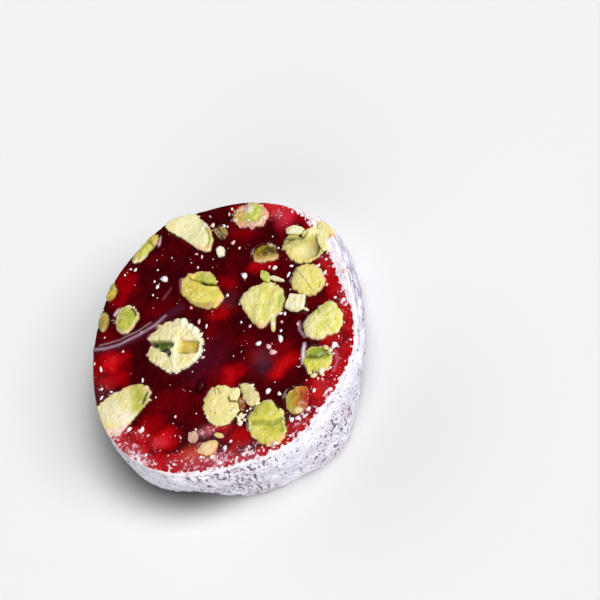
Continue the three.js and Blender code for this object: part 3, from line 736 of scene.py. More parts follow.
            dict(at=(2.6, 2.6), half=(0.85, 0.5), turn=123, thick=0.6, lift=0.3, colour=LEMON, dusk=CREAM),
        ]),
    "pistachio_glazed": Kernel(
        (16.8, -14.2), (2.5, 2.6, 3.0, 2.7, 2.4, 2.5, 2.4, 2.4, 2.7, 3.0, 2.9, 2.5), rise=0.0, crown=0.2,
        tones=(tone("BE9C34"), tone("CC8E2C")), rim=(BLUSH, 0.35), wet=0.6, rough=0.06, marks=[
            oval((-1.5, -0.4), (1.1, 2.0), -8, 0, tone("B4B244"), share=0.7, soft=0.8),
            oval((0.7, 0.9), (1.4, 1.8), 10, 0, tone("CE7A20"), share=0.8, soft=0.9),
            oval((2.3, 0.0), (1.6, 2.8), 0, -0.15, tone("B2101A"), share=1.0, soft=0.9),
            stroke([(0.9, 1.2), (1.3, -0.6)], 0.35, 0, tone("7A3A10"), share=0.6, soft=0.9),
            oval((-0.5, 0.6), (0.6, 0.9), 0, -0.05, tone("8A7A20"), share=0.5, soft=0.8),
            stroke([(-2.5, 1.0), (-2.5, -0.9), (-1.7, -2.1)], 0.25, 0.1, tone("E6C8A0"), share=0.85),
            stroke([(-1.5, 2.0), (-0.3, 2.8), (0.9, 2.9)], 0.35, 0.1, tone("E4B490"), share=0.8, soft=0.8),
            oval((0.6, -2.2), (0.8, 0.6), 0, 0.15, tone("E8E2AE"), share=0.85),
        ]),
    "pistachio_pale": Kernel(
        (-0.9, -23.0), (2.5, 2.8, 2.1, 1.5, 1.5, 1.4, 1.5, 1.3, 1.2, 1.3, 1.5, 2.0), rise=0.2, crown=0.3,
        tones=(tone("F3CE9A"), tone("EFBE8A")), rim=(tone("D8703C"), 0.6), wet=0.3, rough=0.05, marks=[
            # Painted highlight.
            oval((0.6, 0.5), (0.9, 0.6), 20, 0.05, tone("F7E0B8"), share=0.6),
            oval((1.4, 1.0), (0.7, 0.5), 20, 0, LEMON, share=0.3),
        ]),
    "pistachio_west_upper": Kernel(
        (-25.7, 11.1), (1.4, 1.4, 1.6, 2.0, 1.9, 1.5, 1.3, 1.4, 1.6, 2.0, 1.9, 1.5), rise=0.0,
        tones=(OCHRE, OLIVE), rim=(AMBER, 0.6), wet=0.5, marks=[]),
    "pistachio_west_lower": Kernel(
        (-26.4, 4.6), (1.2, 1.3, 1.7, 2.2, 1.8, 1.3, 1.2, 1.3, 1.7, 2.2, 1.8, 1.3), rise=0.1,
        tones=(OLIVE, TAN), rim=(BARK, 0.6), wet=0.4, marks=[]),
})
print(len(KERNELS), "kernels on the upper face")

# %% [markdown]
# ## The jelly
#
# Boiled starch jelly sets into a soft glassy mass. Round each kernel it has shrunk back, which
# leaves a narrow dip and a raised lip that catches the light. It is made from a puck of even
# quads: the upper disc is pressed into the waves, lips, dips and one long fold, the wall follows
# the roll, and each kernel gets a pocket.

# %% Marks in the jelly
FOLD = [(-27.9, -1.3), (-24.6, -1.2), (-21.7, -0.7), (-17.6, 1.1), (-14.5, 2.9), (-12.6, 4.7), (-9.5, 6.1)]
LAVENDER, PALE_PINK, PAINTED_SHEEN = tone("C8A6BC"), tone("E6B4BC"), tone("5E2A44")
JELLY_MARKS = [  # the first two are a small bubble, painted without relief
    # The bubble's dark inside is painted shade.
    oval((-3.3, -10.4), (1.7, 1.15), 74, 0, tone("140004"), soft=0.35),
    oval((-3.1, -10.2), (1.0, 0.5), 74, 0, tone("5A0A10"), share=0.85, soft=0.5),
    # Painted sheen and highlights: a broad purplish band of sheen along the fold and pale lines on its ridge.
    stroke(FOLD, 0.8, 0.25, tone("5A2038"), share=0.5, soft=0.9),
    stroke(FOLD[:6], 0.24, 0.12, LAVENDER, share=0.6, soft=0.95),
    stroke([(-26.4, -0.4), (-21.7, 0.4), (-18.0, 1.9), (-15.6, 3.5)], 0.16, 0.08, PALE_PINK, share=0.4,
           soft=0.95),
    # Painted highlights on small ridges and on the lips beside kernels.
    stroke([(-13.5, 8.3), (-12.0, 10.5)], 0.25, 0.1, tone("80384C"), share=0.7),
    stroke([(15.9, 1.2), (16.2, -0.5), (17.4, -2.0)], 0.2, 0.15, LAVENDER, share=0.75),
    stroke([(17.4, -3.4), (17.3, -5.3), (17.6, -7.0)], 0.28, 0.2, tone("EADCE8"), share=0.9),
    stroke([(23.7, -5.2), (24.3, -7.1), (23.7, -9.1)], 0.22, 0.12, tone("D87888"), share=0.7),
    stroke([(-23.9, 5.9), (-23.2, 6.9)], 0.3, 0.15, PALE_PINK, share=0.7),
    stroke([(-15.8, 21.8), (-15.9, 20.2)], 0.25, 0.15, PALE_PINK, share=0.7),
    oval((9.6, 24.0), (1.0, 0.6), -30, 0.15, tone("E8707C"), share=0.35, soft=0.95),
    oval((11.4, 22.9), (1.9, 1.6), 40, 0.1, tone("D2203A"), share=0.8, soft=0.95),
    oval((-3.1, -24.0), (1.9, 1.6), 0, 0.05, tone("CC4420"), share=0.85, soft=0.95),
    oval((-0.8, -19.5), (1.5, 0.9), 10, 0.12, tone("D86474"), share=0.35, soft=0.95),
    oval((1.0, -25.7), (6.0, 1.6), 3, 0.0, tone("8C1C3C"), share=0.5, soft=0.9),
    oval((-15.6, -23.6), (4.6, 1.2), -33, 0.0, tone("7A1028"), share=0.5, soft=0.9),
    # Painted reflection of the sky: these two purple ovals are a hazy sheen on the face.
    oval((9.1, -6.0), (1.4, 2.0), 20, 0.03, PAINTED_SHEEN, share=0.4, soft=0.95),
    oval((-3.0, -5.0), (4.2, 3.4), 30, 0, tone("4A1228"), share=0.5, soft=0.95),
]
# Where light comes back out of the jelly: place, half sizes, turn and strength.
GLOWS = [
    ((-22.6, 12.6), (2.9, 3.2), 40, 0.62), ((-23.0, 9.0), (2.9, 1.7), 20, 0.5),
    ((-25.0, 1.0), (2.4, 2.0), 0, 0.42), ((0.2, 10.6), (2.6, 1.7), -30, 0.55),
    ((-1.0, 4.2), (2.8, 1.9), 0, 0.66), ((-9.9, 20.2), (2.2, 1.1), -20, 0.32),
    ((-16.6, 17.0), (3.2, 1.6), 0, 0.28), ((-14.1, 6.3), (5.2, 2.6), 10, 0.3),
    ((10.6, 25.6), (5.4, 2.6), -14, 1.0), ((7.4, 26.4), (2.2, 1.6), 0, 0.95),
    ((0.1, 26.5), (1.8, 1.2), 0, 0.55), ((1.8, 21.2), (4.6, 1.7), -8, 0.45),
    ((10.4, 21.0), (1.5, 2.8), 10, 0.42), ((7.2, 13.6), (3.2, 1.6), 0, 0.82),
    ((21.8, 9.4), (1.9, 4.6), 12, 0.82), ((24.6, 3.4), (1.6, 3.6), 8, 0.78),
    ((20.6, 13.3), (2.4, 1.4), 0, 0.66), ((23.0, -2.6), (2.6, 1.8), 0, 0.74),
    ((1.2, 4.9), (2.0, 1.6), 0, 0.36), ((19.6, 5.0), (2.6, 1.1), 0, 0.42),
    ((-23.0, -4.1), (3.6, 2.5), 10, 0.9), ((-22.3, -7.9), (3.8, 1.9), 8, 0.7),
    ((-10.0, -20.7), (3.4, 2.5), 10, 0.95), ((1.5, -18.8), (2.8, 1.5), 0, 0.78),
    ((2.4, -8.9), (1.9, 3.0), 0, 0.74), ((13.4, -7.7), (4.4, 1.7), 45, 0.84),
    ((4.4, -8.0), (2.0, 2.2), 0, 0.62), ((24.0, -7.6), (2.3, 3.6), -10, 0.8),
    ((21.4, -12.4), (2.8, 3.0), 30, 0.96), ((17.4, -19.2), (2.6, 1.7), 30, 0.8),
    ((6.4, -20.9), (3.4, 2.0), 0, 0.66), ((-15.6, -20.0), (3.0, 2.2), 45, 0.75),
    ((-4.0, -24.4), (4.0, 1.6), 0, 0.75), ((-1.4, -13.0), (2.2, 2.0), 0, 0.2),
    ((-7.0, -13.5), (2.6, 3.6), 0, 0.34), ((-2.4, 0.2), (1.6, 3.6), 0, 0.4),
    ((-27.0, -6.0), (1.6, 4.0), 0, 0.6), ((-0.4, -8.5), (3.6, 2.8), 0, 0.4),
    ((12.8, -4.4), (3.6, 2.4), 30, 0.5), ((-10.6, -13.2), (3.6, 2.6), 0, 0.38),
    ((-12.8, -17.6), (3.4, 2.4), 20, 0.58), ((5.1, -1.8), (2.8, 2.4), 0, 0.34),
    ((7.4, -5.2), (2.4, 2.2), 0, 0.42),
]
GLOW_SCALE = [
    (0.0, tone("220003")), (0.2, tone("400006")), (0.42, tone("680006")), (0.65, tone("980006")),
    (0.85, tone("B8070F")), (1.0, tone("CE1822")),
]


def glow_at(x, y):
    """How strongly the jelly glows: the marks above, and a band along the eastern and southern rim."""
    glow = 0.2 + 0.07 * ripple(x, y, 8, 3) + 0.05 * ripple(x, y, 2.4, 4)
    x, y = x + 0.5 * ripple(x, y, 3.5, 5) + 0.2 * ripple(x, y, 1.2, 6), y + 0.5 * ripple(x, y, 3.5, 7)
    for at, half, turn, strength in GLOWS:
        one = strength * cover(oval(at, half, turn, soft=0.75), x, y)
        glow = np.maximum(glow, one) + 0.15 * np.minimum(glow, one)
    bearing = np.degrees(np.arctan2(y, x))
    sunny = smoothstep(-155, -130, bearing) * (1 - smoothstep(45, 80, bearing))
    reach = 4.4 + 2.2 * smoothstep(-60, -95, bearing)
    inward = side_radius(np.radians(bearing), THICKNESS) - np.hypot(x, y)
    band = 0.85 * sunny * (1 - smoothstep(0.35, 1.0, inward / reach + 0.18 * ripple(x, y, 3, 9)))
    return np.clip(np.maximum(glow, band) + 0.05 * ripple(x, y, 0.9, 10), 0, 1)


def glow_colour(glow):
    stops = np.array([s for s, _ in GLOW_SCALE])
    return np.stack([np.interp(glow, stops, [c[k] for _, c in GLOW_SCALE]) for k in range(3)], 1)


# %% The surface of the jelly
LIP_HEIGHT, LIP_AWAY, LIP_WIDTH = 0.12, 0.7, 0.32  # of the lip outside the dip
DIP_DEPTH, DIP_WIDTH = 0.2, 0.22  # of the narrow dip round a kernel
RIM_POWDER = [  # bearing in degrees and how far in from the rim the solid powder reaches
    (-180, -1.2), (-158, -0.8), (-148, 0.0), (-138, 0.3), (-125, 0.1), (-112, 0.0), (-95, 0.3),
    (-85, 0.5), (-75, 0.5), (-62, 0.3), (-50, 0.1), (-42, 0.6), (-36, 0.8), (-30, 0.3), (-20, 0.1),
    (-10, 0.0), (0, 0.4), (8, 0.6), (14, 1.2), (22, 1.4), (32, 1.7), (38, 2.0), (46, 1.7), (58, 0.5),
    (70, -0.5), (80, -1.2), (180, -1.2),
]
FRINGE = 0.9  # width of the powder's ragged margin
POWDER_PATCHES = [  # powder that lies apart from the rim: place, half sizes, turn and strength
    ((-14.9, -24.0), (3.2, 0.9), 148, 0.6), ((-20.4, -19.2), (1.9, 0.5), 15, 0.6),
    ((-20.2, -20.9), (0.6, 1.4), 20, 0.5), ((-11.2, -22.6), (1.0, 0.6), 165, 0.4),
    ((-15.0, -20.1), (0.9, 0.5), 140, 0.35), ((-10.8, -25.1), (1.2, 0.6), 170, 0.45),
    ((6.0, -25.4), (0.7, 1.2), 20, 0.6), ((8.1, -24.2), (2.0, 0.7), 6, 0.6),
    ((10.1, -25.1), (0.7, 1.1), -10, 0.6), ((8.5, -26.6), (1.8, 0.5), 10, 0.6),
    ((10.7, -23.8), (0.9, 0.7), 20, 0.55), ((1.6, -26.2), (2.6, 1.1), 10, 0.42),
    ((18.2, -17.6), (2.2, 0.8), 35, 0.6), ((17.3, -20.8), (1.0, 0.6), 40, 0.65),
    ((23.0, -13.0), (1.5, 0.7), 50, 0.6), ((25.4, -12.0), (1.2, 0.6), 60, 0.6),
    ((20.3, -11.7), (1.2, 0.7), 20, 0.4), ((24.1, -4.1), (0.9, 0.6), -30, 0.6),
    ((24.8, 4.4), (0.9, 1.2), 10, 0.55),
]
PINK_DUST = [  # where fine dust reddens to pink: place, half sizes, turn and strength
    ((-20.2, -19.8), (2.6, 1.6), -25, 1.5), ((-15.4, -23.9), (5.0, 1.7), -33, 1.9),
    ((-10.8, -21.3), (1.3, 1.0), 0, 0.8), ((0.5, -25.2), (6.5, 2.2), 0, 1.5),
    ((7.5, -24.6), (3.6, 2.2), 8, 1.2), ((-15.0, -19.4), (2.2, 0.9), -20, 0.7),
    ((16.5, -19.0), (4.4, 2.4), 35, 0.5), ((22.4, -12.6), (2.6, 4.4), -30, 0.3),
    ((-0.8, -19.5), (1.9, 1.1), 10, 1.3), ((24.2, -4.5), (2.2, 5.0), 0, 0.3),
    ((24.4, 5.0), (1.6, 4.0), 10, 0.35), ((9.6, 24.2), (2.4, 1.3), -30, 0.7),
    ((-24.6, -10.6), (2.2, 3.2), 20, 0.45), ((20.4, 14.2), (1.6, 3.0), 20, 0.5),
    ((9.6, 26.2), (3.6, 1.2), -20, 0.5), ((1.0, 6.9), (1.6, 1.8), 0, 0.35),
    ((2.0, -18.4), (2.6, 1.2), 0, 0.35), ((9.4, -6.2), (2.4, 3.0), 20, 0.25),
    ((0.0, -20.5), (5.0, 1.8), 0, 0.3),
]


def inward_of(x, y):
    """How far a place on the face lies in from the rim."""
    return side_radius(np.arctan2(y, x), THICKNESS) - np.hypot(x, y)


def powder_film(x, y):
    """How thickly powder lies on the face: 1 at the rim, ragged, 0 further in."""
    inward = inward_of(x, y)
    width = np.interp(np.degrees(np.arctan2(y, x)), [b for b, _ in RIM_POWDER], [w for _, w in RIM_POWDER])
    ragged = 0.4 * ripple(x, y, 2.4, 71) + 0.4 * ripple(x, y, 1.1, 72) + 0.25 * ripple(x, y, 0.6, 75)
    film = np.clip(1 - (inward - width) / FRINGE + ragged * smoothstep(0.1, 0.8, inward), 0, 1)
    bare_line = 0.9 * cover(oval((-127, 0.5), (13, 0.35), soft=0.6), np.degrees(np.arctan2(y, x)), inward)
    film = film * (1 - bare_line)
    for at, half, turn, strength in POWDER_PATCHES:
        patch = strength * cover(oval(at, half, turn, soft=0.5), x, y) * (1 + 0.5 * ripple(x, y, 0.9, 74))
        film = np.maximum(film, np.clip(patch, 0, 1))
    return film


def pink_dust(x, y):
    """How thickly fine sugar dust veils the jelly, from 0 to 1."""
    dust = np.zeros(np.shape(x))
    for at, half, turn, strength in PINK_DUST:
        dust = np.maximum(dust, strength * cover(oval(at, half, turn, soft=0.95), x, y))
    return dust


def jelly_top(x, y, pockets=False):
    """Height of the jelly. With pockets it drops away under the kernels."""
    out = edge_share(x, y)
    fine = 0.05 * ripple(x, y, 4.5, 11) + 0.022 * ripple(x, y, 1.7, 12)
    z = THICKNESS + (face_wave(x, y) + fine) * (1 - np.minimum(out, 1) ** 4) + raised(JELLY_MARKS, x, y)
    z = z + 0.2 * powder_film(x, y) * (1 + 0.4 * ripple(x, y, 0.8, 73))
    for kernel in KERNELS.values():
        share, past = kernel.share(x, y)
        near = past < 3
        uneven = 0.6 + 0.6 * ripple(x, y, 3.2, kernel.seed)
        lip = np.exp(-(((past - LIP_AWAY) / LIP_WIDTH) ** 2)) * LIP_HEIGHT * uneven
        dip = np.exp(-(np.maximum(past, 0) / DIP_WIDTH) ** 2) * DIP_DEPTH
        sunk = kernel.sink * (1 - smoothstep(0.0, 2.4, past))
        z = z + np.where(near, lip - dip - sunk, 0)
        if pockets:
            z = np.where(share < POCKET_SHARE, np.minimum(z, THICKNESS - POCKET_DEPTH), z)
    rim = np.clip(1 - (1 - out) * side_radius(np.arctan2(y, x), THICKNESS) / EDGE_ROUND, 0, 1)
    return z - EDGE_ROUND * (1 - np.sqrt(1 - rim**2))


# %% Press the jelly
JELLY_CELLS, JELLY_WALL_ROWS = 190, 14
STAND_BACK = 0.9  # how far the wall stands back behind a kernel that shows at the side
jelly, share, bearing, height = puck("jelly_slice", JELLY_CELLS, JELLY_WALL_ROWS)
level = height * (THICKNESS - EDGE_ROUND)
radius = share * side_radius(bearing, np.where(height < 1, level, THICKNESS))
x, y = radius * np.cos(bearing), radius * np.sin(bearing)
on_face, on_wall = height == 1, (height > 0) & (height < 1)
z = np.where(on_face, jelly_top(x, y, pockets=True), level)
for name, kernel in KERNELS.items():
    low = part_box(name)[0].z / MM
    kernel_share, _ = kernel.share(x, y)
    behind = on_wall & (kernel_share < 1.0) & (z > low + 0.5)
    pull = 1 - STAND_BACK / np.maximum(radius, 1)
    x, y = np.where(behind, x * pull, x), np.where(behind, y * pull, y)
paint = tinted(glow_colour(glow_at(x, y)), JELLY_MARKS, x, y)
press(jelly, x, y, z)
write_colour(jelly, "paint", paint)
print("jelly:", len(jelly.data.polygons), "faces")

# %% [markdown]
# ### Feet of the kernels
#
# Ten kernels run right through to the lower face, and five more show only there. The jelly's lower
# disc is raised a third of a millimetre over each of them, so that the kernel's own face is what
# shows underneath.

# %% The lower face
JUST_ABOVE = 0.05  # a height at which rays still meet the foot of a solid
FOOT_ROOM = 1.04  # how much wider than a foot the raised patch over it is
FOOT_CLEARANCE = 0.35  # how far the patch is raised
UNDERSIDE_NODES = [n for n in KERNEL_NODES if n.startswith("pistachio_under_")]
THROUGH_NODES = [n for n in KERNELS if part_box(n)[0].z / MM < JUST_ABOVE]


def foot_of(name):
    """The middle of a node's lower face and its radii there, from rays just above the table."""
    corners = np.array([v.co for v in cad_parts[name].data.vertices]) / MM
    low = corners[corners[:, 2] < corners[:, 2].min() + JUST_ABOVE][:, :2] - POLE
    middle = low.mean(0)
    bearings = np.radians(np.arange(0, 360, 7.5))
    return middle, fill_gaps(skin_radii(solid(name), middle, bearings, JUST_ABOVE, BEYOND_KERNEL))


FEET = {name: foot_of(name) for name in THROUGH_NODES + UNDERSIDE_NODES}


def foot_share(name, x, y):
    middle, radii = FEET[name]
    dx, dy = x - middle[0], y - middle[1]
    return np.hypot(dx, dy) / radius_at(radii, np.arctan2(dy, dx))


jelly_points = points_of(jelly) / MM
below = height == 0
px, py, pz = jelly_points[:, 0] - POLE[0], jelly_points[:, 1] - POLE[1], jelly_points[:, 2]
inside_foot = np.zeros(len(px), bool)
for name in FEET:
    inside_foot |= below & (foot_share(name, px, py) < FOOT_ROOM)
pz = np.where(inside_foot, FOOT_CLEARANCE, pz)
press(jelly, px, py, pz)
shade(jelly)
print("through kernels:", len(THROUGH_NODES), "kernels below:", len(UNDERSIDE_NODES))

# %% [markdown]
# ### Making a kernel's mesh
#
# Each kernel is a smaller puck. Its upper disc takes the kernel's outline and cut face, its wall
# goes over to the CAD solid's form within three millimetres, and its lower disc is the foot.

# %% Kernel meshes
BODY_LEVELS = 7  # heights at which a body is measured
WALL_ROWS = 9
FINE_CELL = 0.17  # wanted size of a face of the mesh
LEAST_CELLS, MOST_CELLS = 20, 64


def piece_name(node):
    """What the piece that replaces a kernel's node is called."""
    return node.replace("pistachio_", "") + "_kernel"


def body_table(name, middle_at):
    """Radii of a CAD kernel at a few heights, with the axis that they are taken from."""
    low, high = (corner.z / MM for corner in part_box(name))
    levels = np.linspace(low + 0.15, min(high, THICKNESS) - 0.9, BODY_LEVELS)
    surface = solid(name)
    bearings = np.radians(np.arange(0, 360, 10))
    rows = [fill_gaps(skin_radii(surface, middle_at(z), bearings, z, BEYOND_KERNEL)) for z in levels]
    return levels, np.array(rows)


def make_kernel(name, kernel, cells):
    piece, share, bearing, height = puck(piece_name(name), cells, WALL_ROWS)
    low, high = (corner.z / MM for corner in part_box(name))
    foot = np.array(FEET[name][0]) if name in FEET else np.array(kernel.at)
    axis = lambda z: foot + (np.array(kernel.at) - foot) * np.clip((z - low) / (THICKNESS - low), 0, 1)
    levels, radii = body_table(name, axis)
    top_level = THICKNESS - 0.25 + min(kernel.rise, 0)
    z = low + height * (top_level - low)
    body = look_up(radii, levels, bearing, z)
    face = kernel.outline(bearing)
    near_face = smoothstep(THICKNESS - 3.0, THICKNESS - 0.6, z)
    radius = np.where(height == 1, face, body + (face - body) * near_face)
    middle_x, middle_y = kernel.at[0], kernel.at[1]
    drift = np.clip((z - low) / (THICKNESS - low), 0, 1)
    middle_x = foot[0] + (middle_x - foot[0]) * np.where(height == 1, 1, drift)
    middle_y = foot[1] + (middle_y - foot[1]) * np.where(height == 1, 1, drift)
    x, y = middle_x + share * radius * np.cos(bearing), middle_y + share * radius * np.sin(bearing)
    limit = side_radius(np.arctan2(y, x), np.minimum(z, THICKNESS)) + 0.04
    inward = np.minimum(1, limit / np.maximum(np.hypot(x, y), 1e-6))
    x, y = x * inward, y * inward
    z = np.where(height == 1, kernel.top(x, y), z)
    press(piece, x, y, z)
    write_colour(piece, "paint", kernel.paint(x, y))
    write_value(piece, "wet", np.full(len(x), kernel.wet))
    shade(piece, CRISP_ANGLE)
    return piece


# %% [markdown]
# Splinters and loose flakes that broke off with the cut lie on some kernels. A plate is a small
# puck, bent and tilted, with a rounded edge, and it is joined to the kernel that it lies on.

# %% Plates and chips
PLATE_CELLS, PLATE_WALL_ROWS = 12, 3


def make_plate(name, at, half, turn=0, thick=0.6, lift=0.3, tilt=(0, 0), bow=0.0, colour=CREAM, dusk=IVORY,
               power=2.0, ground=None):
    """A flake at a place: its half sizes, its turn, how far its upper face is lifted off the ground,
    how it tilts and bows, its two tones, and how square its outline is."""
    piece, share, bearing, height = puck(name, PLATE_CELLS, PLATE_WALL_ROWS)
    seed = int(abs(at[0]) * 77 + abs(at[1]) * 41)
    c, s = np.cos(bearing), np.sin(bearing)
    shape = (np.abs(c) ** power + np.abs(s) ** power) ** (-1 / power)
    ragged = 1 + 0.05 * np.sin(5 * bearing + seed) + 0.035 * np.sin(9 * bearing + 2 * seed)
    belly = 0.86 + 0.14 * np.sin(math.pi * height)
    along = half[0] * share * shape * ragged * c * belly
    across = half[1] * share * shape * ragged * s * belly + bow * (along / half[0]) ** 2
    turn_c, turn_s = math.cos(math.radians(turn)), math.sin(math.radians(turn))
    x, y = at[0] + along * turn_c - across * turn_s, at[1] + along * turn_s + across * turn_c
    base = ground(np.array([at[0]]), np.array([at[1]]))[0]
    skin = 0.09 * facets(x - at[0], y - at[1], 0.8, 5, seed) + 0.05 * ripple(x, y, 0.6, seed)
    leaning = tilt[0] * along + tilt[1] * across
    dome = 0.12 * (1 - share**2)
    z = base + lift + leaning + np.where(height == 1, skin + dome, 0) - thick * (1 - height)
    press(piece, x, y, z)
    mottle = np.clip(0.5 + 0.6 * ripple(x, y, 1.3, seed + 1), 0, 1)
    write_colour(piece, "paint", blend(colour, dusk, mottle))
    write_value(piece, "wet", np.zeros(len(x)))
    shade(piece, CRISP_ANGLE)
    return piece


def cells_for(size):
    """Enough cells for the face of a kernel with this largest radius."""
    return int(np.clip(2 * size / FINE_CELL, LEAST_CELLS, MOST_CELLS))


pistachio_pieces = []
for name, kernel in KERNELS.items():
    parts = [make_kernel(name, kernel, cells_for(max(kernel.radii)))]
    for index, plate in enumerate(kernel.plates):
        spot = dict(plate)
        spot["at"] = (kernel.at[0] + plate["at"][0], kernel.at[1] + plate["at"][1])
        parts.append(make_plate(f"plate_{index}", ground=lambda x, y: THICKNESS + face_wave(x, y), **spot))
    piece = join(parts, piece_name(name))
    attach(piece, "root")
    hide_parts(name)
    pistachio_pieces.append(piece)
print("faces in the kernels:", sum(len(p.data.polygons) for p in pistachio_pieces))

# %% [markdown]
# ### Kernels of the lower face
#
# These are the same puck the other way up: a cut face on the table and a dome in the jelly.

# %% Underside kernels
UNDERSIDE_CELLS = 26
DOME = 0.25  # how far the upper side bulges
for name in UNDERSIDE_NODES:
    piece, share, bearing, height = puck(piece_name(name), UNDERSIDE_CELLS, WALL_ROWS)
    middle, foot_radii = FEET[name]
    low, high = (corner.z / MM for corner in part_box(name))
    levels, radii = body_table(name, lambda z: middle)
    z = height * (high - DOME)
    radius = np.where(height == 0, radius_at(foot_radii, bearing), look_up(radii, levels, bearing, z))
    radius = np.where(height == 1, look_up(radii, levels, bearing, np.full(len(z), high)), radius)
    x, y = middle[0] + share * radius * np.cos(bearing), middle[1] + share * radius * np.sin(bearing)
    cut = 0.06 * (1 + facets(x - middle[0], y - middle[1], 1.6, 8, 21)) + 0.02 * ripple(x, y, 0.8, 22)
    z = np.where(height == 0, np.clip(cut, 0, 0.3) * (1 - share**6), z)
    z = np.where(height == 1, z + DOME * (1 - share**2), z)
    press(piece, x, y, z)
    mottle = np.clip(0.5 + 0.5 * ripple(x, y, 1.8, 31), 0, 1)
    colours = blend(blend(BUTTER, LIME, mottle), BLUSH, 0.7 * smoothstep(0.85, 0.97, share))
    write_colour(piece, "paint", colours)
    write_value(piece, "wet", np.zeros(len(x)))
    shade(piece, CRISP_ANGLE)
    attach(piece, "root")
    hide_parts(name)
    pistachio_pieces.append(piece)

# %% [markdown]
# ## Loose chips on the face
#
# A square chip of nut and four smaller ones lie on the jelly. The four largest are fused to it in
# the CAD. Here all of them are laid over the jelly, so that they get the colours of nut.

# %% Chips on the face
CHIPS = [
    dict(at=(15.0, 5.0), half=(1.95, 1.8), turn=-12, thick=1.1, lift=0.85, tilt=(0.05, -0.03), colour=CREAM,
         dusk=IVORY, power=4),
    dict(at=(17.1, 3.6), half=(0.75, 0.3), turn=-25, thick=0.5, lift=0.3, colour=IVORY, dusk=BLUSH,
         power=2),
    dict(at=(-2.0, 17.3), half=(1.15, 0.85), turn=106, thick=0.9, lift=0.7, colour=IVORY, dusk=IVORY,
         power=2.6),
    dict(at=(-3.5, -20.5), half=(1.2, 1.0), turn=100, thick=0.9, lift=0.5, colour=tone("D2B49C"),
         dusk=tone("C08878"), power=2.6),
    dict(at=(1.9, -20.5), half=(0.95, 0.5), turn=165, thick=0.7, lift=0.45, colour=LEMON, dusk=BLUSH,
         power=2.2),
]
chips = join(
    [make_plate(f"chip_{i}", ground=jelly_top, **chip) for i, chip in enumerate(CHIPS)], "loose_chips"
)
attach(chips, "root")
pistachio_pieces.append(chips)

# %% [markdown]
# ## The sugar crust
#
# Powdered sugar sticks to the side and cakes into a rough skin, thick to the south-east, thinner to
# the north-west and thinnest to the south-west. A torus has a closed ring of faces with no ends to
# hide, so it is the primitive: its tube is pressed flat against the roll, its outer side takes the
# lumps and pits, and its upper edge runs ragged along the rim.

# %% Press the crust
CRUST_COLUMNS, CRUST_ROWS, CRUST_CUTS = 240, 20, 3
HEAVY_BEARING = math.radians(-50)
CRUST_FOOT = 0.16  # height of its lower edge
CRUST_GAP = 0.03  # between the roll and its inner side


def crust_thickness(bearing):
    thin = np.exp(-(((np.mod(np.degrees(bearing), 360) - 212) / 20) ** 2))
    return 0.7 + 0.25 * np.cos(bearing - HEAVY_BEARING) - 0.4 * thin


def crust_lip(bearing):
    return THICKNESS - 0.75 * (1 - np.cos(bearing - HEAVY_BEARING))


deselect_all()
bpy.ops.mesh.primitive_torus_add(
    major_segments=CRUST_COLUMNS, minor_segments=CRUST_ROWS, major_radius=2.0, minor_radius=1.0
)
crust = bpy.context.object
crust.name = crust.data.name = "sugar_coat"
bpy.ops.object.mode_set(mode="EDIT")
bpy.ops.mesh.select_all(action="SELECT")
bpy.ops.mesh.subdivide(number_cuts=CRUST_CUTS)
bpy.ops.object.mode_set(mode="OBJECT")
tx, ty, tz = points_of(crust).T
bearing = np.arctan2(ty, tx)
turn = np.mod(np.arctan2(tz, np.hypot(tx, ty) - 2.0) / (2 * math.pi), 1)  # 0 outside, 0.25 up, 0.5 inside
# A third of the tube goes down the inner side, the rest round the lip, the outer side and the foot.
loop_at = [0.0, 0.20, 0.26, 0.32, 0.40, 0.60, 0.68, 0.78, 1.0]
loop_share = [1.0, 1.0, 0.6, 0.0, 0.0, 0.0, 0.3, 1.0, 1.0]
loop_height = [0.45, 0.93, 1.0, 1.0, 0.96, 0.04, 0.0, 0.05, 0.45]
tube_share, tube_height = np.interp(turn, loop_at, loop_share), np.interp(turn, loop_at, loop_height)
arc_x, arc_y = RIM_ARC * np.cos(bearing), RIM_ARC * np.sin(bearing)
ragged = ripple(arc_x, arc_y, 3.0, 41) * 0.16 + ripple(arc_x, arc_y, 1.1, 42) * 0.13
z = CRUST_FOOT + tube_height * (crust_lip(bearing) + ragged - CRUST_FOOT)
lump = ripple(arc_x + 0.8 * z, arc_y - 0.6 * z, 3.4, 43) * 0.15
lump += ripple(arc_x + 0.5 * z, arc_y + 0.9 * z, 1.4, 44) * 0.11
lump += ripple(arc_x * 1.3 - z, arc_y + 1.1 * z, 0.8, 45) * 0.08
pit = np.maximum(ripple(arc_x - z, arc_y + z, 1.0, 46) * ripple(arc_x, 2 * z + arc_y, 1.4, 47) - 0.45, 0)
outer = smoothstep(0.3, 1.0, tube_share)
thickness = crust_thickness(bearing) + (lump - 0.45 * pit) * outer
radius = side_radius(bearing, z) + CRUST_GAP + tube_share * thickness
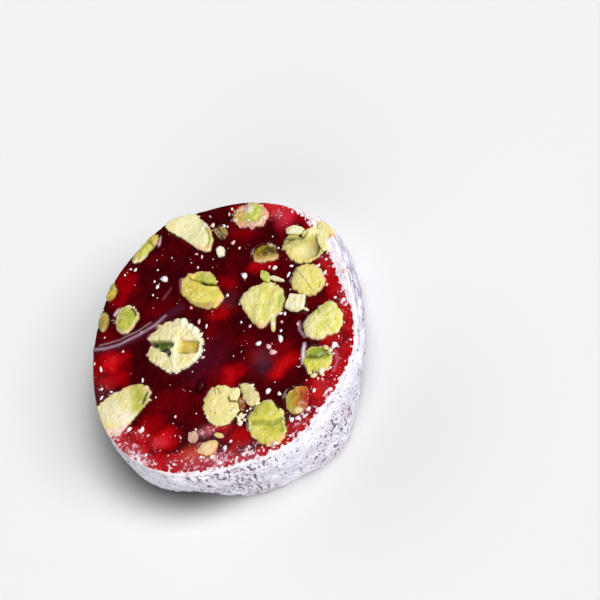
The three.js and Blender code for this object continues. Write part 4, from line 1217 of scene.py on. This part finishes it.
# The lip leans in over the rim and closes the seam to the jelly.
lean = smoothstep(0.88, 1.0, tube_height)
radius = radius - lean * (0.4 * outer + 0.3 * smoothstep(13.0, 13.8, crust_lip(bearing)))
press(crust, radius * np.cos(bearing), radius * np.sin(bearing), z)
write_value(crust, "pits", np.clip(pit * 2.2, 0, 1) * outer)
WEAR = [  # where the jelly shows through as specks: bearing, height, half sizes in them and strength
    (-38, 6.5, 15, 6.0, 0.9), (-78, 5.5, 8, 7.5, 1.15), (-48, 2.5, 12, 2.0, 0.7),
    (-93, 6.0, 8, 6.0, 0.75), (-84, 13.2, 24, 1.2, 1.0), (-118, 12.8, 14, 1.0, 0.45),
    (-118, 1.2, 8, 1.0, 0.5), (-135, 5.0, 10, 5.0, 0.25), (-16, 7.0, 9, 6.0, 0.6),
    (12, 7.0, 12, 6.0, 0.5), (-75, 12.5, 8, 1.4, 0.8), (-104, 10.5, 10, 2.0, 0.5),
    (150, 6.0, 60, 5.0, 0.45), (80, 6.0, 30, 5.0, 0.45),
]
wear = 0.16 + 0.12 * ripple(arc_x, arc_y + 2 * z, 6.0, 48) + 0.75 * (1 - smoothstep(0.5, 1.6, z))
for at_bearing, at_z, half_bearing, half_z, strength in WEAR:
    turned = np.mod(np.degrees(bearing) - at_bearing + 180, 360) - 180
    patch = oval((0, at_z), (half_bearing, half_z), soft=0.7)
    wear = np.maximum(wear, strength * cover(patch, turned, z))
write_value(crust, "wear", np.clip(wear, 0, 1))
# Painted shade: dusk is high on the eastern wall, where it strengthens the dark lavender-grey streaks.
eastern = np.exp(-(((np.degrees(bearing) - 18) / 30) ** 2))
write_value(crust, "dusk", eastern)
write_vector(crust, "drag", 0.16 * arc_x, 0.16 * arc_y, 1.3 * z + 1.3 * (1 - tube_share))
deselect_all()
crust.select_set(True)
bpy.context.view_layer.objects.active = crust
bpy.ops.object.mode_set(mode="EDIT")
bpy.ops.mesh.select_all(action="SELECT")
bpy.ops.mesh.normals_make_consistent(inside=False)
bpy.ops.object.mode_set(mode="OBJECT")
shade(crust)
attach(crust, "root")
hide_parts("sugar_crust")
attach(jelly, "root")
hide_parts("jelly")
print("crust:", len(crust.data.polygons), "faces")

# %% [markdown]
# ## Sugar grains and crumbs
#
# Cutting drags sugar over the face. The grains are one modelled lump, copied with its own size,
# stretch and turn to seeded places: thickly along the eastern and southern rim, thinly elsewhere.
# Dust of nut lies round the kernels in the same way. The larger crumbs of sugar and of nut are
# placed one by one.

# %% A grain and its copies
deselect_all()
bpy.ops.mesh.primitive_ico_sphere_add(subdivisions=1, radius=1)
grain = bpy.context.object
GRAIN_POINTS = points_of(grain)
GRAIN_POINTS *= 1 + 0.2 * np.sin(5 * GRAIN_POINTS[:, :1] + 3 * GRAIN_POINTS[:, 1:2])
GRAIN_POINTS *= 1 + 0.12 * np.sin(4 * GRAIN_POINTS[:, 2:] - 7 * GRAIN_POINTS[:, 1:2] + 1)
GRAIN_FACES = np.array([tuple(face.vertices) for face in grain.data.polygons])
bpy.data.objects.remove(grain)


def scatter(name, places, sizes, seed, colours, sink=0.42):
    """Copies of the grain at places (x, y, z), each stretched and turned, joined as one piece."""
    draw = np.random.default_rng(seed)
    count = len(places)
    stretch = sizes[:, None] * draw.uniform(0.5, 1.5, (count, 3)) if np.ndim(sizes) == 1 else sizes
    stretch = stretch * (1, 1, 0.7)
    angle = draw.uniform(0, 2 * math.pi, count)
    c, s = np.cos(angle)[:, None], np.sin(angle)[:, None]
    shape = GRAIN_POINTS[None] * stretch[:, None, :]
    x = places[:, :1] + shape[..., 0] * c - shape[..., 1] * s
    y = places[:, 1:2] + shape[..., 0] * s + shape[..., 1] * c
    z = places[:, 2:3] + shape[..., 2] + stretch[:, 2:3] * (1 - 2 * sink)
    data = bpy.data.meshes.new(name)
    step = np.arange(count)[:, None, None] * len(GRAIN_POINTS)
    faces = (GRAIN_FACES[None] + step).reshape(-1, 3)
    data.from_pydata(np.zeros((count * len(GRAIN_POINTS), 3)), [], faces)
    piece = bpy.data.objects.new(name, data)
    bpy.context.collection.objects.link(piece)
    press(piece, x.ravel(), y.ravel(), z.ravel())
    write_colour(piece, "paint", np.repeat(colours, len(GRAIN_POINTS), 0))
    shade(piece)
    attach(piece, "root")
    return piece


def ground_at(x, y):
    """The height of whatever shows at a place: a kernel or the jelly."""
    z = jelly_top(x, y)
    for kernel in KERNELS.values():
        share, _ = kernel.share(x, y)
        inside = share < 0.97
        if inside.any():
            z[inside] = kernel.top(x[inside], y[inside])
    return z


def face_places(count, seed, keep):
    """Seeded places on the face; keep(x, y, bearing, inward) is the chance that one stays."""
    draw = np.random.default_rng(seed)
    bearing = draw.uniform(-math.pi, math.pi, count)
    limit = side_radius(bearing, np.full(count, THICKNESS)) - 0.15
    radius = limit * np.sqrt(draw.uniform(0, 1, count))
    x, y = radius * np.cos(bearing), radius * np.sin(bearing)
    stays = draw.uniform(0, 1, count) < keep(x, y, np.degrees(bearing), limit - radius)
    x, y = x[stays], y[stays]
    return np.stack([x, y, ground_at(x, y)], 1)


def off_kernels(x, y):
    """Few grains of sugar stay on the kernels."""
    share = np.min([kernel.share(x, y)[0] for kernel in KERNELS.values()], 0)
    return 0.1 + 0.9 * smoothstep(0.95, 1.05, share)


def near_rim(x, y, bearing, inward):
    heavy = smoothstep(-165, -120, bearing) * (1 - smoothstep(20, 75, bearing)) + 0.06
    heavy = heavy * (1 - 0.3 * smoothstep(-45, -20, bearing))
    patchy = np.clip(0.45 + 0.9 * ripple(x, y, 3.0, 51), 0, 1)
    return heavy * patchy * np.exp(-((inward / 2.9) ** 1.2)) * off_kernels(x, y)


def anywhere(x, y, bearing, inward):
    return np.clip(0.25 * ripple(x, y, 4.0, 52) - 0.02, 0.015, 1) * 0.5 * off_kernels(x, y)


def beside_kernels(x, y, bearing, inward):
    """Nut dust lies where the knife dragged it, round the outlines of the kernels."""
    past = np.min([np.abs(kernel.share(x, y)[1]) for kernel in KERNELS.values()], 0)
    return np.exp(-((past / 0.35) ** 2)) * np.clip(0.1 + 0.5 * ripple(x, y, 2.2, 53), 0.02, 1) * 0.35


SUGAR_WHITE, SUGAR_PINK, SUGAR_ROSE = tone("F4ECF2"), tone("EFB6C0"), tone("D86878")


def grain_colours(count, seed, whiteness):
    draw = np.random.default_rng(seed)
    pick = draw.uniform(0, 1, count)
    return np.where((pick < whiteness)[:, None], SUGAR_WHITE, blend(SUGAR_ROSE, SUGAR_PINK, pick))


RIM_TRIES, FACE_TRIES, NUT_TRIES = 12000, 9000, 16000  # seeded places, of which a share is kept
rim_spots = face_places(RIM_TRIES, 61, near_rim)
face_spots = face_places(FACE_TRIES, 62, anywhere)
spots = np.concatenate([rim_spots, face_spots])
size_draw = np.random.default_rng(63)
coarse = np.where(np.arange(len(spots)) < len(rim_spots), 0.36, 0.22)
grain_sizes = 0.055 + coarse * size_draw.uniform(0, 1, len(spots)) ** 3.5
tints = grain_colours(len(spots), 64, 0.45)
dusting = scatter("sugar_dusting", spots, grain_sizes, 65, tints)
nut_spots = face_places(NUT_TRIES, 68, beside_kernels)
nut_sizes = 0.07 + 0.24 * size_draw.uniform(0, 1, len(nut_spots)) ** 3.0
nut_tints = blend(BUTTER, IVORY, size_draw.uniform(0, 1, len(nut_spots)))
with_skin = size_draw.uniform(0, 1, len(nut_spots)) < 0.35
nut_tints = blend(nut_tints, BLUSH, with_skin * 0.8)
nut_dust = scatter("pistachio_dust", nut_spots, nut_sizes, 69, nut_tints)
print("grains of sugar:", len(spots), "and of nut:", len(nut_spots))

# %% Larger crumbs, placed one by one
CRUMBS = [  # x, y, half length, half width
    (-13.6, 12.6, 0.95, 0.75), (-15.1, 11.0, 0.5, 0.4), (-16.0, 12.4, 0.32, 0.3),
    (-20.6, 15.2, 0.5, 0.32), (-21.7, 15.5, 0.35, 0.25), (3.6, 11.8, 0.85, 0.65),
    (10.0, 12.7, 0.6, 0.5), (12.9, 11.0, 0.3, 0.75), (13.3, 12.8, 0.5, 0.3), (0.5, 19.1, 0.4, 0.65),
    (12.4, -1.9, 0.95, 0.55), (8.0, -2.7, 0.7, 0.5), (10.1, -3.3, 0.5, 0.75), (11.2, -4.6, 0.6, 0.95),
    (-5.2, 3.0, 0.65, 0.35), (-7.1, 5.9, 0.4, 0.35), (11.0, -12.3, 0.7, 0.6), (3.3, -22.9, 0.65, 0.4),
    (11.9, 3.2, 0.5, 0.35), (12.8, 3.1, 0.45, 0.35), (12.3, 1.5, 0.35, 0.35), (12.3, -0.3, 0.35, 0.3),
    (1.9, 17.7, 0.3, 0.3), (10.3, 16.9, 0.25, 0.3), (20.7, 15.5, 0.45, 0.4), (20.4, 10.9, 0.35, 0.6),
    (5.9, 1.0, 0.4, 0.35), (4.0, 2.0, 0.3, 0.25), (-15.9, 9.4, 0.3, 0.25), (-15.6, 14.8, 0.25, 0.25),
    (-6.0, 16.6, 0.5, 0.22), (-7.2, 17.3, 0.45, 0.25), (-6.6, 14.4, 0.35, 0.25),
    (-1.9, 22.9, 0.5, 0.35), (0.4, 7.9, 0.35, 0.35), (-3.4, 1.8, 0.25, 0.6), (23.4, -4.2, 0.8, 0.5),
    (23.0, -8.4, 0.35, 0.3), (21.6, -10.6, 0.4, 0.3), (16.2, -18.2, 0.5, 0.55),
    (19.4, -16.2, 0.5, 0.45), (13.6, -22.6, 0.8, 0.4), (4.4, -15.9, 0.3, 0.45), (3.6, -18.0, 0.3, 0.3),
    (-0.8, -16.9, 0.3, 0.35), (-17.4, -18.2, 0.7, 0.45), (-14.6, -18.6, 0.8, 0.5),
    (-13.2, -19.6, 0.35, 0.3), (-24.6, -9.6, 0.35, 0.3), (-25.4, -5.4, 0.3, 0.8),
    (-24.4, -11.4, 0.6, 0.3), (-15.8, -8.4, 0.6, 0.25), (4.9, -14.3, 0.3, 0.8), (3.6, 23.3, 0.3, 0.3),
    (0.7, 23.7, 0.35, 0.4), (4.4, 22.2, 0.45, 0.4),
]
crumb_x, crumb_y, crumb_length, crumb_width = np.array(CRUMBS).T.copy()
crumb_places = np.stack([crumb_x, crumb_y, ground_at(crumb_x, crumb_y)], 1)
crumb_sizes = np.stack([crumb_length, crumb_width, 0.75 * np.minimum(crumb_length, crumb_width)], 1)
crumb_tints = grain_colours(len(CRUMBS), 67, 0.7)
crumbs = scatter("sugar_crumbs", crumb_places, crumb_sizes, 66, crumb_tints, sink=0.3)

NUT_CRUMBS = [  # pale bits of nut along the outlines: x and y
    (-8.5, 3.4), (-7.1, 2.6), (-5.7, 1.5), (-4.4, 0.2), (-3.7, -1.3), (-3.2, -3.1), (-3.3, -4.6),
    (-4.4, -5.5), (-8.7, -7.4), (-8.0, -7.1), (-10.3, -7.0), (-8.6, -6.6), (-11.4, -6.4), (5.3, -17.1),
    (6.2, -17.0), (6.8, -16.7), (7.1, -15.9), (5.9, -18.2), (6.8, -17.7), (7.7, -15.6), (21.8, -4.4),
    (22.7, -4.6), (23.4, -5.7), (22.4, -5.3), (18.9, -9.1), (19.7, -9.9), (20.7, -10.4), (21.7, -9.8),
    (21.3, -8.9), (-1.0, 25.2), (-0.6, 26.4), (0.0, 24.2), (6.7, 23.6), (6.2, 22.9), (5.0, 22.2),
    (-4.3, 23.3), (-3.2, -19.0), (0.8, -24.6), (13.3, -13.0),
]
nut_table = np.array(NUT_CRUMBS)
nut_places = np.stack([*nut_table.T, ground_at(*nut_table.T.copy())], 1)
crumb_draw = np.random.default_rng(71)
nut_crumb_sizes = 0.2 + 0.42 * crumb_draw.uniform(0, 1, len(nut_table)) ** 1.5
nut_crumb_tints = blend(IVORY, tone("E9C9A0"), crumb_draw.uniform(0, 0.8, len(nut_table)))
nut_crumbs = scatter("pistachio_crumbs", nut_places, nut_crumb_sizes, 72, nut_crumb_tints)

# %% [markdown]
# ## Finishes
#
# A shader is a graph of nodes. Written out node by node it is hard to read, so a small class wraps
# an output and lets ordinary arithmetic add the Math nodes, and one method adds any other node.

# %% Shader arithmetic
class Value:
    """An output of a node. Adding, multiplying and so on adds Math nodes."""

    def __init__(self, finish, output):
        self.finish, self.output = finish, output

    def _math(self, operation, first, second):
        return self.finish.node("ShaderNodeMath", {"operation": operation}, {0: first, 1: second})

    def __add__(self, other):
        return self._math("ADD", self, other)

    def __sub__(self, other):
        return self._math("SUBTRACT", self, other)

    def __rsub__(self, other):
        return self._math("SUBTRACT", other, self)

    def __mul__(self, other):
        return self._math("MULTIPLY", self, other)

    def __truediv__(self, other):
        return self._math("DIVIDE", self, other)

    def __pow__(self, other):
        return self._math("POWER", self, other)

    def above(self, low, high):
        """0 below low, 1 above high, smooth between."""
        settings = {"interpolation_type": "SMOOTHSTEP"}
        return self.finish.node("ShaderNodeMapRange", settings, {0: self, 1: low, 2: high, 3: 0.0, 4: 1.0})


class Finish:
    """A material's node tree round one Principled shader."""

    def __init__(self, name):
        self.material = bpy.data.materials.new(name)
        self.material.use_nodes = True
        self.tree = self.material.node_tree
        self.shader = self.tree.nodes["Principled BSDF"]

    def node(self, kind, settings=None, inputs=None, output=0):
        new = self.tree.nodes.new(kind)
        for key, value in (settings or {}).items():
            setattr(new, key, value)
        for key, value in (inputs or {}).items():
            self.feed(new.inputs[key], value)
        return Value(self, new.outputs[output])

    def feed(self, socket, value):
        if isinstance(value, Value):
            self.tree.links.new(value.output, socket)
        else:
            socket.default_value = value

    def set(self, **values):
        """Feeds the shader's sockets, named with _ for spaces."""
        for key, value in values.items():
            self.feed(self.shader.inputs[key.replace("_", " ")], value)

    def place(self, scale=(1, 1, 1)):
        here = self.node("ShaderNodeTexCoord", output="Object")
        return self.node("ShaderNodeMapping", {}, {"Vector": here, "Scale": scale})

    def noise(self, size, detail=2.0, stretch=(1, 1, 1), roughness=0.5, where=None):
        """Noise with features of about `size` millimetres."""
        where = where or self.place(stretch)
        inputs = {"Vector": where, "Scale": 1 / (size * MM), "Detail": detail, "Roughness": roughness}
        return self.node("ShaderNodeTexNoise", {}, inputs, output="Fac")

    def layer(self, name, output="Color"):
        return self.node("ShaderNodeAttribute", {"attribute_name": name}, {}, output=output)

    def mix(self, share, a, b):
        """Colour a where the share is 0, colour b where it is 1."""
        return self.node("ShaderNodeMix", {"data_type": "RGBA"}, {0: share, 6: a, 7: b}, output=2)

    def bump(self, height, distance, strength=1.0):
        inputs = {"Height": height, "Distance": distance * MM, "Strength": strength}
        self.set(Normal=self.node("ShaderNodeBump", {}, inputs))


def ink(colour):
    return (*[float(v) for v in colour], 1.0)


# %% [markdown]
# ### Jelly
#
# The jelly is glassy and dark, and it reddens where light comes back out of it. The red is painted
# on the points. A film of sugar lies along the rim, ragged at the scale of its grains, and here and
# there a veil of fine dust turns the jelly pink.

# %% Jelly finish
face_x, face_y = (points_of(jelly) / MM)[:, :2].T - POLE[:, None]
write_value(jelly, "film", powder_film(face_x, face_y) * on_face)
face_bearing, face_inward = np.arctan2(face_y, face_x), inward_of(face_x, face_y)
rim_x, rim_y = RIM_ARC * np.cos(face_bearing), RIM_ARC * np.sin(face_bearing)
write_vector(jelly, "spoke", rim_x, rim_y, 0.35 * face_inward)  # streaks that point inward
write_vector(jelly, "drag", 0.22 * face_x, 0.22 * face_y, 1.6 * face_inward)  # streaks along the rim
write_value(jelly, "dust", pink_dust(face_x, face_y) * on_face)

jelly_finish = Finish("pomegranate_jelly")
film = jelly_finish.layer("film", "Fac")
fringe = jelly_finish.noise(0.45, 2.0, where=jelly_finish.layer("spoke", "Vector"))
clumps = jelly_finish.noise(0.5, 4.0, roughness=0.65)
powder = (fringe * 0.8 + clumps * 1.1 + film * 1.7 - 1.8).above(0.0, 0.22)
depth = jelly_finish.noise(2.2, 3.0)
red = jelly_finish.mix(depth.above(0.35, 0.75) * 0.3, jelly_finish.layer("paint"), ink(tone("2A0004")))
dust = jelly_finish.layer("dust", "Fac")
flecks = jelly_finish.noise(0.7, 5.0, roughness=0.72) + jelly_finish.noise(2.2, 2.0) * 0.45
veil = dust * 0.05 + (flecks + dust * 0.13 - 0.87).above(0.0, 0.13) * dust.above(0.02, 0.5) * 0.85
red = jelly_finish.mix(veil, red, ink(tone("ECB2C0")))
powder_tone = jelly_finish.mix(film.above(0.2, 0.85), ink(tone("EDA6B6")), ink(tone("F8F3F8")))
drag = jelly_finish.noise(0.55, 3.0, where=jelly_finish.layer("drag", "Vector"))
powder_tone = jelly_finish.mix(drag.above(0.5, 0.64) * 0.45, powder_tone, ink(tone("B9A4C2")))
sugared = jelly_finish.mix(powder * 0.95, red, powder_tone)
dullness = powder * 0.5 + jelly_finish.noise(1.5, 2.0) * 0.1 + 0.06
jelly_finish.set(Base_Color=sugared, Roughness=dullness, IOR=1.42)
jelly_finish.bump(jelly_finish.noise(0.9, 3.0) * 0.5 + powder + powder * drag, 0.12, 0.4)
jelly.data.materials.append(jelly_finish.material)

# %% [markdown]
# ### Pistachio
#
# The painted colours carry the large patches. Fine noise breaks them up and gives the dull grain
# of a cut nut, and where syrup covers a kernel the surface turns glossy.

# %% Pistachio finish
nut = Finish("cut_pistachio")
grain_of_nut = nut.noise(0.35, 4.0)
patches = nut.noise(1.1, 3.0)
colour = nut.mix(grain_of_nut.above(0.52, 0.72) * 0.28, nut.layer("paint"), ink(tone("B09A2C")))
colour = nut.mix(patches.above(0.5, 0.7) * 0.3, colour, ink(tone("F8F3CE")))
wet = nut.layer("wet", "Fac")
nut.set(Base_Color=colour, Roughness=0.62 - wet * 0.5, IOR=1.45)
nut.bump(grain_of_nut * 0.8 + patches, 0.25, 0.7)
for piece in pistachio_pieces:
    piece.data.materials.append(nut.material)

# %% [markdown]
# ### Sugar crust
#
# Caked sugar is white with a lavender cast. Thin streaks run along the roll, and the jelly shows
# as maroon specks where the cake is thin or pitted.
# On the eastern wall the streaks grow strong and dark: painted shade.

# %% Crust finish
coat = Finish("caked_sugar")
wear, dusk = coat.layer("wear", "Fac"), coat.layer("dusk", "Fac")
mottling = coat.noise(2.6, 3.0)
flour = coat.noise(0.8, 4.0, roughness=0.6)
drag = coat.noise(0.6, 4.0, where=coat.layer("drag", "Vector"))
white = coat.mix(mottling.above(0.35, 0.65), ink(tone("F2F1FA")), ink(tone("E2DFEC")))
white = coat.mix(flour.above(0.46, 0.66) * 0.36, white, ink(tone("C4BED2")))
white = coat.mix(wear * mottling.above(0.42, 0.6) * 0.35, white, ink(tone("E6C6D2")))
# Painted shade: the lavender-grey streaks are faint all round and strong on the eastern wall, where dusk is
# high.
white = coat.mix(drag.above(0.42, 0.62) * (dusk * 0.9 + 0.08), white, ink(tone("9A8CAA")))
strokes = coat.noise(0.75, 3.0, (1.0, 1.0, 0.75), roughness=0.5)
dots = coat.noise(0.4, 2.0, roughness=0.5)
specks = (strokes + wear * 0.12 - 0.675).above(0.0, 0.04) + (dots + wear * 0.1 - 0.7).above(0.0, 0.04) * 0.8
bare = (specks + coat.layer("pits", "Fac") * wear * 0.7).above(0.05, 0.9)
stain = coat.mix(coat.noise(1.2, 2.0).above(0.42, 0.58), ink(tone("4E1A30")), ink(tone("7A6C88")))
coat.set(Base_Color=coat.mix(bare * 0.9, white, stain), Roughness=0.9, IOR=1.4)
coat.bump(flour * 0.8 + drag * 0.8 + dots * 0.4 - bare * 0.9, 0.35, 0.9)
crust.data.materials.append(coat.material)

grains_finish = Finish("sugar_grains")
sparkle = grains_finish.noise(0.2, 2.0)
grain_paint = grains_finish.layer("paint")
grain_colour = grains_finish.mix(sparkle.above(0.4, 0.7) * 0.3, grain_paint, ink(tone("FFFFFF")))
grains_finish.set(Base_Color=grain_colour, Roughness=sparkle * 0.3 + 0.35, IOR=1.5)
for piece in (dusting, crumbs, nut_dust, nut_crumbs):
    piece.data.materials.append(grains_finish.material)

# %% [markdown]
# ## Floor, light and camera
#
# The slice lies on a plain pale floor. Its shade is painted: dark close beside the slice, from the
# west round to the south, and a faint pool that reaches out to the south-east.

# %% Floor
SLICE_RADIUS = 0.028  # metres, like the other lengths of the floor's shades
SHADE_WIDTH, SHADE_GAIN, SHADE_SHARE = 0.004, 0.013, 0.88  # least width, more to the west, darkness
POOL_AT, POOL_STEEPNESS, POOL_SHARE = (0.02, -0.012, 0), 18.0, 0.2
BLACK = ink(tone("000000"))
deselect_all()
bpy.ops.mesh.primitive_plane_add(size=6, location=(0, 0, 0))
floor = bpy.context.object
floor.name = "floor"
floor_finish = Finish("pale_floor")
floor_tone = floor_finish.mix(floor_finish.noise(40.0, 2.0) * 0.05, ink(tone("EDEDED")), ink(tone("E8E8E8")))


def floor_measure(operation, against):
    """How far the floor's places lie from a place, or along a direction."""
    there = {0: floor_finish.place(), 1: against}
    return floor_finish.node("ShaderNodeVectorMath", {"operation": operation}, there, "Value")


def towards(direction, away):
    """1 where a place lies in the direction, seen from the frame's origin, 0 square to it."""
    return floor_measure("DOT_PRODUCT", direction) / away


pool = (1.0 - floor_measure("DISTANCE", POOL_AT) * POOL_STEEPNESS).above(0.0, 1.0) ** 2.0
away = floor_measure("DISTANCE", (*POLE * MM, 0))
width = towards((-0.94, -0.34, 0), away).above(0.2, 1.0) * SHADE_GAIN + SHADE_WIDTH
beside = (1.0 - (away - SLICE_RADIUS) / width).above(0.0, 1.0) ** 1.8
shady_side = towards((-0.72, -0.69, 0), away).above(0.5, 1.0)
floor_tone = floor_finish.mix(pool * POOL_SHARE, floor_tone, BLACK)
floor_tone = floor_finish.mix(beside * shady_side * SHADE_SHARE, floor_tone, BLACK)
floor_finish.set(Base_Color=floor_tone, Roughness=1.0)
floor_finish.shader.inputs["Specular IOR Level"].default_value = 0.0
floor.data.materials.append(floor_finish.material)

# %% [markdown]
# ### Light
#
# Two suns stand to the east. The low one rakes over the face and brings out its relief, the high
# one keeps the face bright. A broad and weaker one in the south fills the side that the camera
# sees. The sky is dim, and almost black where the level face would mirror it to the camera, which
# keeps the jelly deep.

# %% Suns
def sun(name, toward, strength, angle):
    """A sun whose light comes from the direction `toward`. A wide angle gives soft shadows."""
    light = bpy.data.lights.new(name, "SUN")
    light.energy, light.angle = strength, math.radians(angle)
    holder = bpy.data.objects.new(name, light)
    bpy.context.collection.objects.link(holder)
    holder.rotation_euler = Vector(toward).to_track_quat("Z", "Y").to_euler()


sun("low", (0.82, 0.0, 0.57), 1.35, 24)
sun("high", (0.42, 0.05, 0.9), 1.95, 44)
sun("fill", (-0.05, -0.95, 0.28), 1.0, 60)

# %% Sky
MIRRORED = (-0.385, 0.385, 0.839)  # the part of the sky that the camera sees in the level face
SKY_GLOW, MIRRORED_GLOW = 0.26, 0.02
world = bpy.data.worlds.new("studio")
bpy.context.scene.world = world
world.use_nodes = True
sky, links = world.node_tree.nodes, world.node_tree.links
way = sky.new("ShaderNodeTexCoord")
facing = sky.new("ShaderNodeVectorMath")
facing.operation = "DOT_PRODUCT"
facing.inputs[1].default_value = MIRRORED
dark_patch = sky.new("ShaderNodeMapRange")
dark_patch.interpolation_type = "SMOOTHSTEP"
for socket, value in (("From Min", 0.5), ("From Max", 0.9), ("To Min", SKY_GLOW), ("To Max", MIRRORED_GLOW)):
    dark_patch.inputs[socket].default_value = value
links.new(way.outputs["Generated"], facing.inputs[0])
links.new(facing.outputs["Value"], dark_patch.inputs["Value"])
links.new(dark_patch.outputs[0], sky["Background"].inputs["Strength"])
sky["Background"].inputs["Color"].default_value = (1, 1, 1, 1)
bpy.context.scene.view_settings.view_transform = "Standard"

# %% [markdown]
# ### Camera
#
# The camera looks down on the slice from the south-east, with a long lens.

# %% Camera
CAMERA_PLACE = (136.162, -114.575, 276.106)  # millimetres, in the frame
CAMERA_RIGHT = (0.9193, 0.0807, -0.3851)
CAMERA_UP = (0.0807, 0.9193, 0.3851)
CAMERA_BACK = (0.3851, -0.3851, 0.8387)  # away from what it looks at, 33 degrees off the vertical
LENS, SENSOR = 100, 36
NEAR, FAR = 0.01, 20  # metres between which the camera sees
lens = bpy.data.cameras.new("camera")
lens.lens, lens.sensor_width = LENS, SENSOR
lens.clip_start, lens.clip_end = NEAR, FAR
camera = bpy.data.objects.new("camera", lens)
bpy.context.collection.objects.link(camera)
columns = np.eye(4)
columns[:3, :3] = np.stack([CAMERA_RIGHT, CAMERA_UP, CAMERA_BACK], 1)
columns[:3, 3] = np.array(CAMERA_PLACE) * MM
camera.matrix_world = Matrix(columns.tolist())
bpy.context.scene.camera = camera
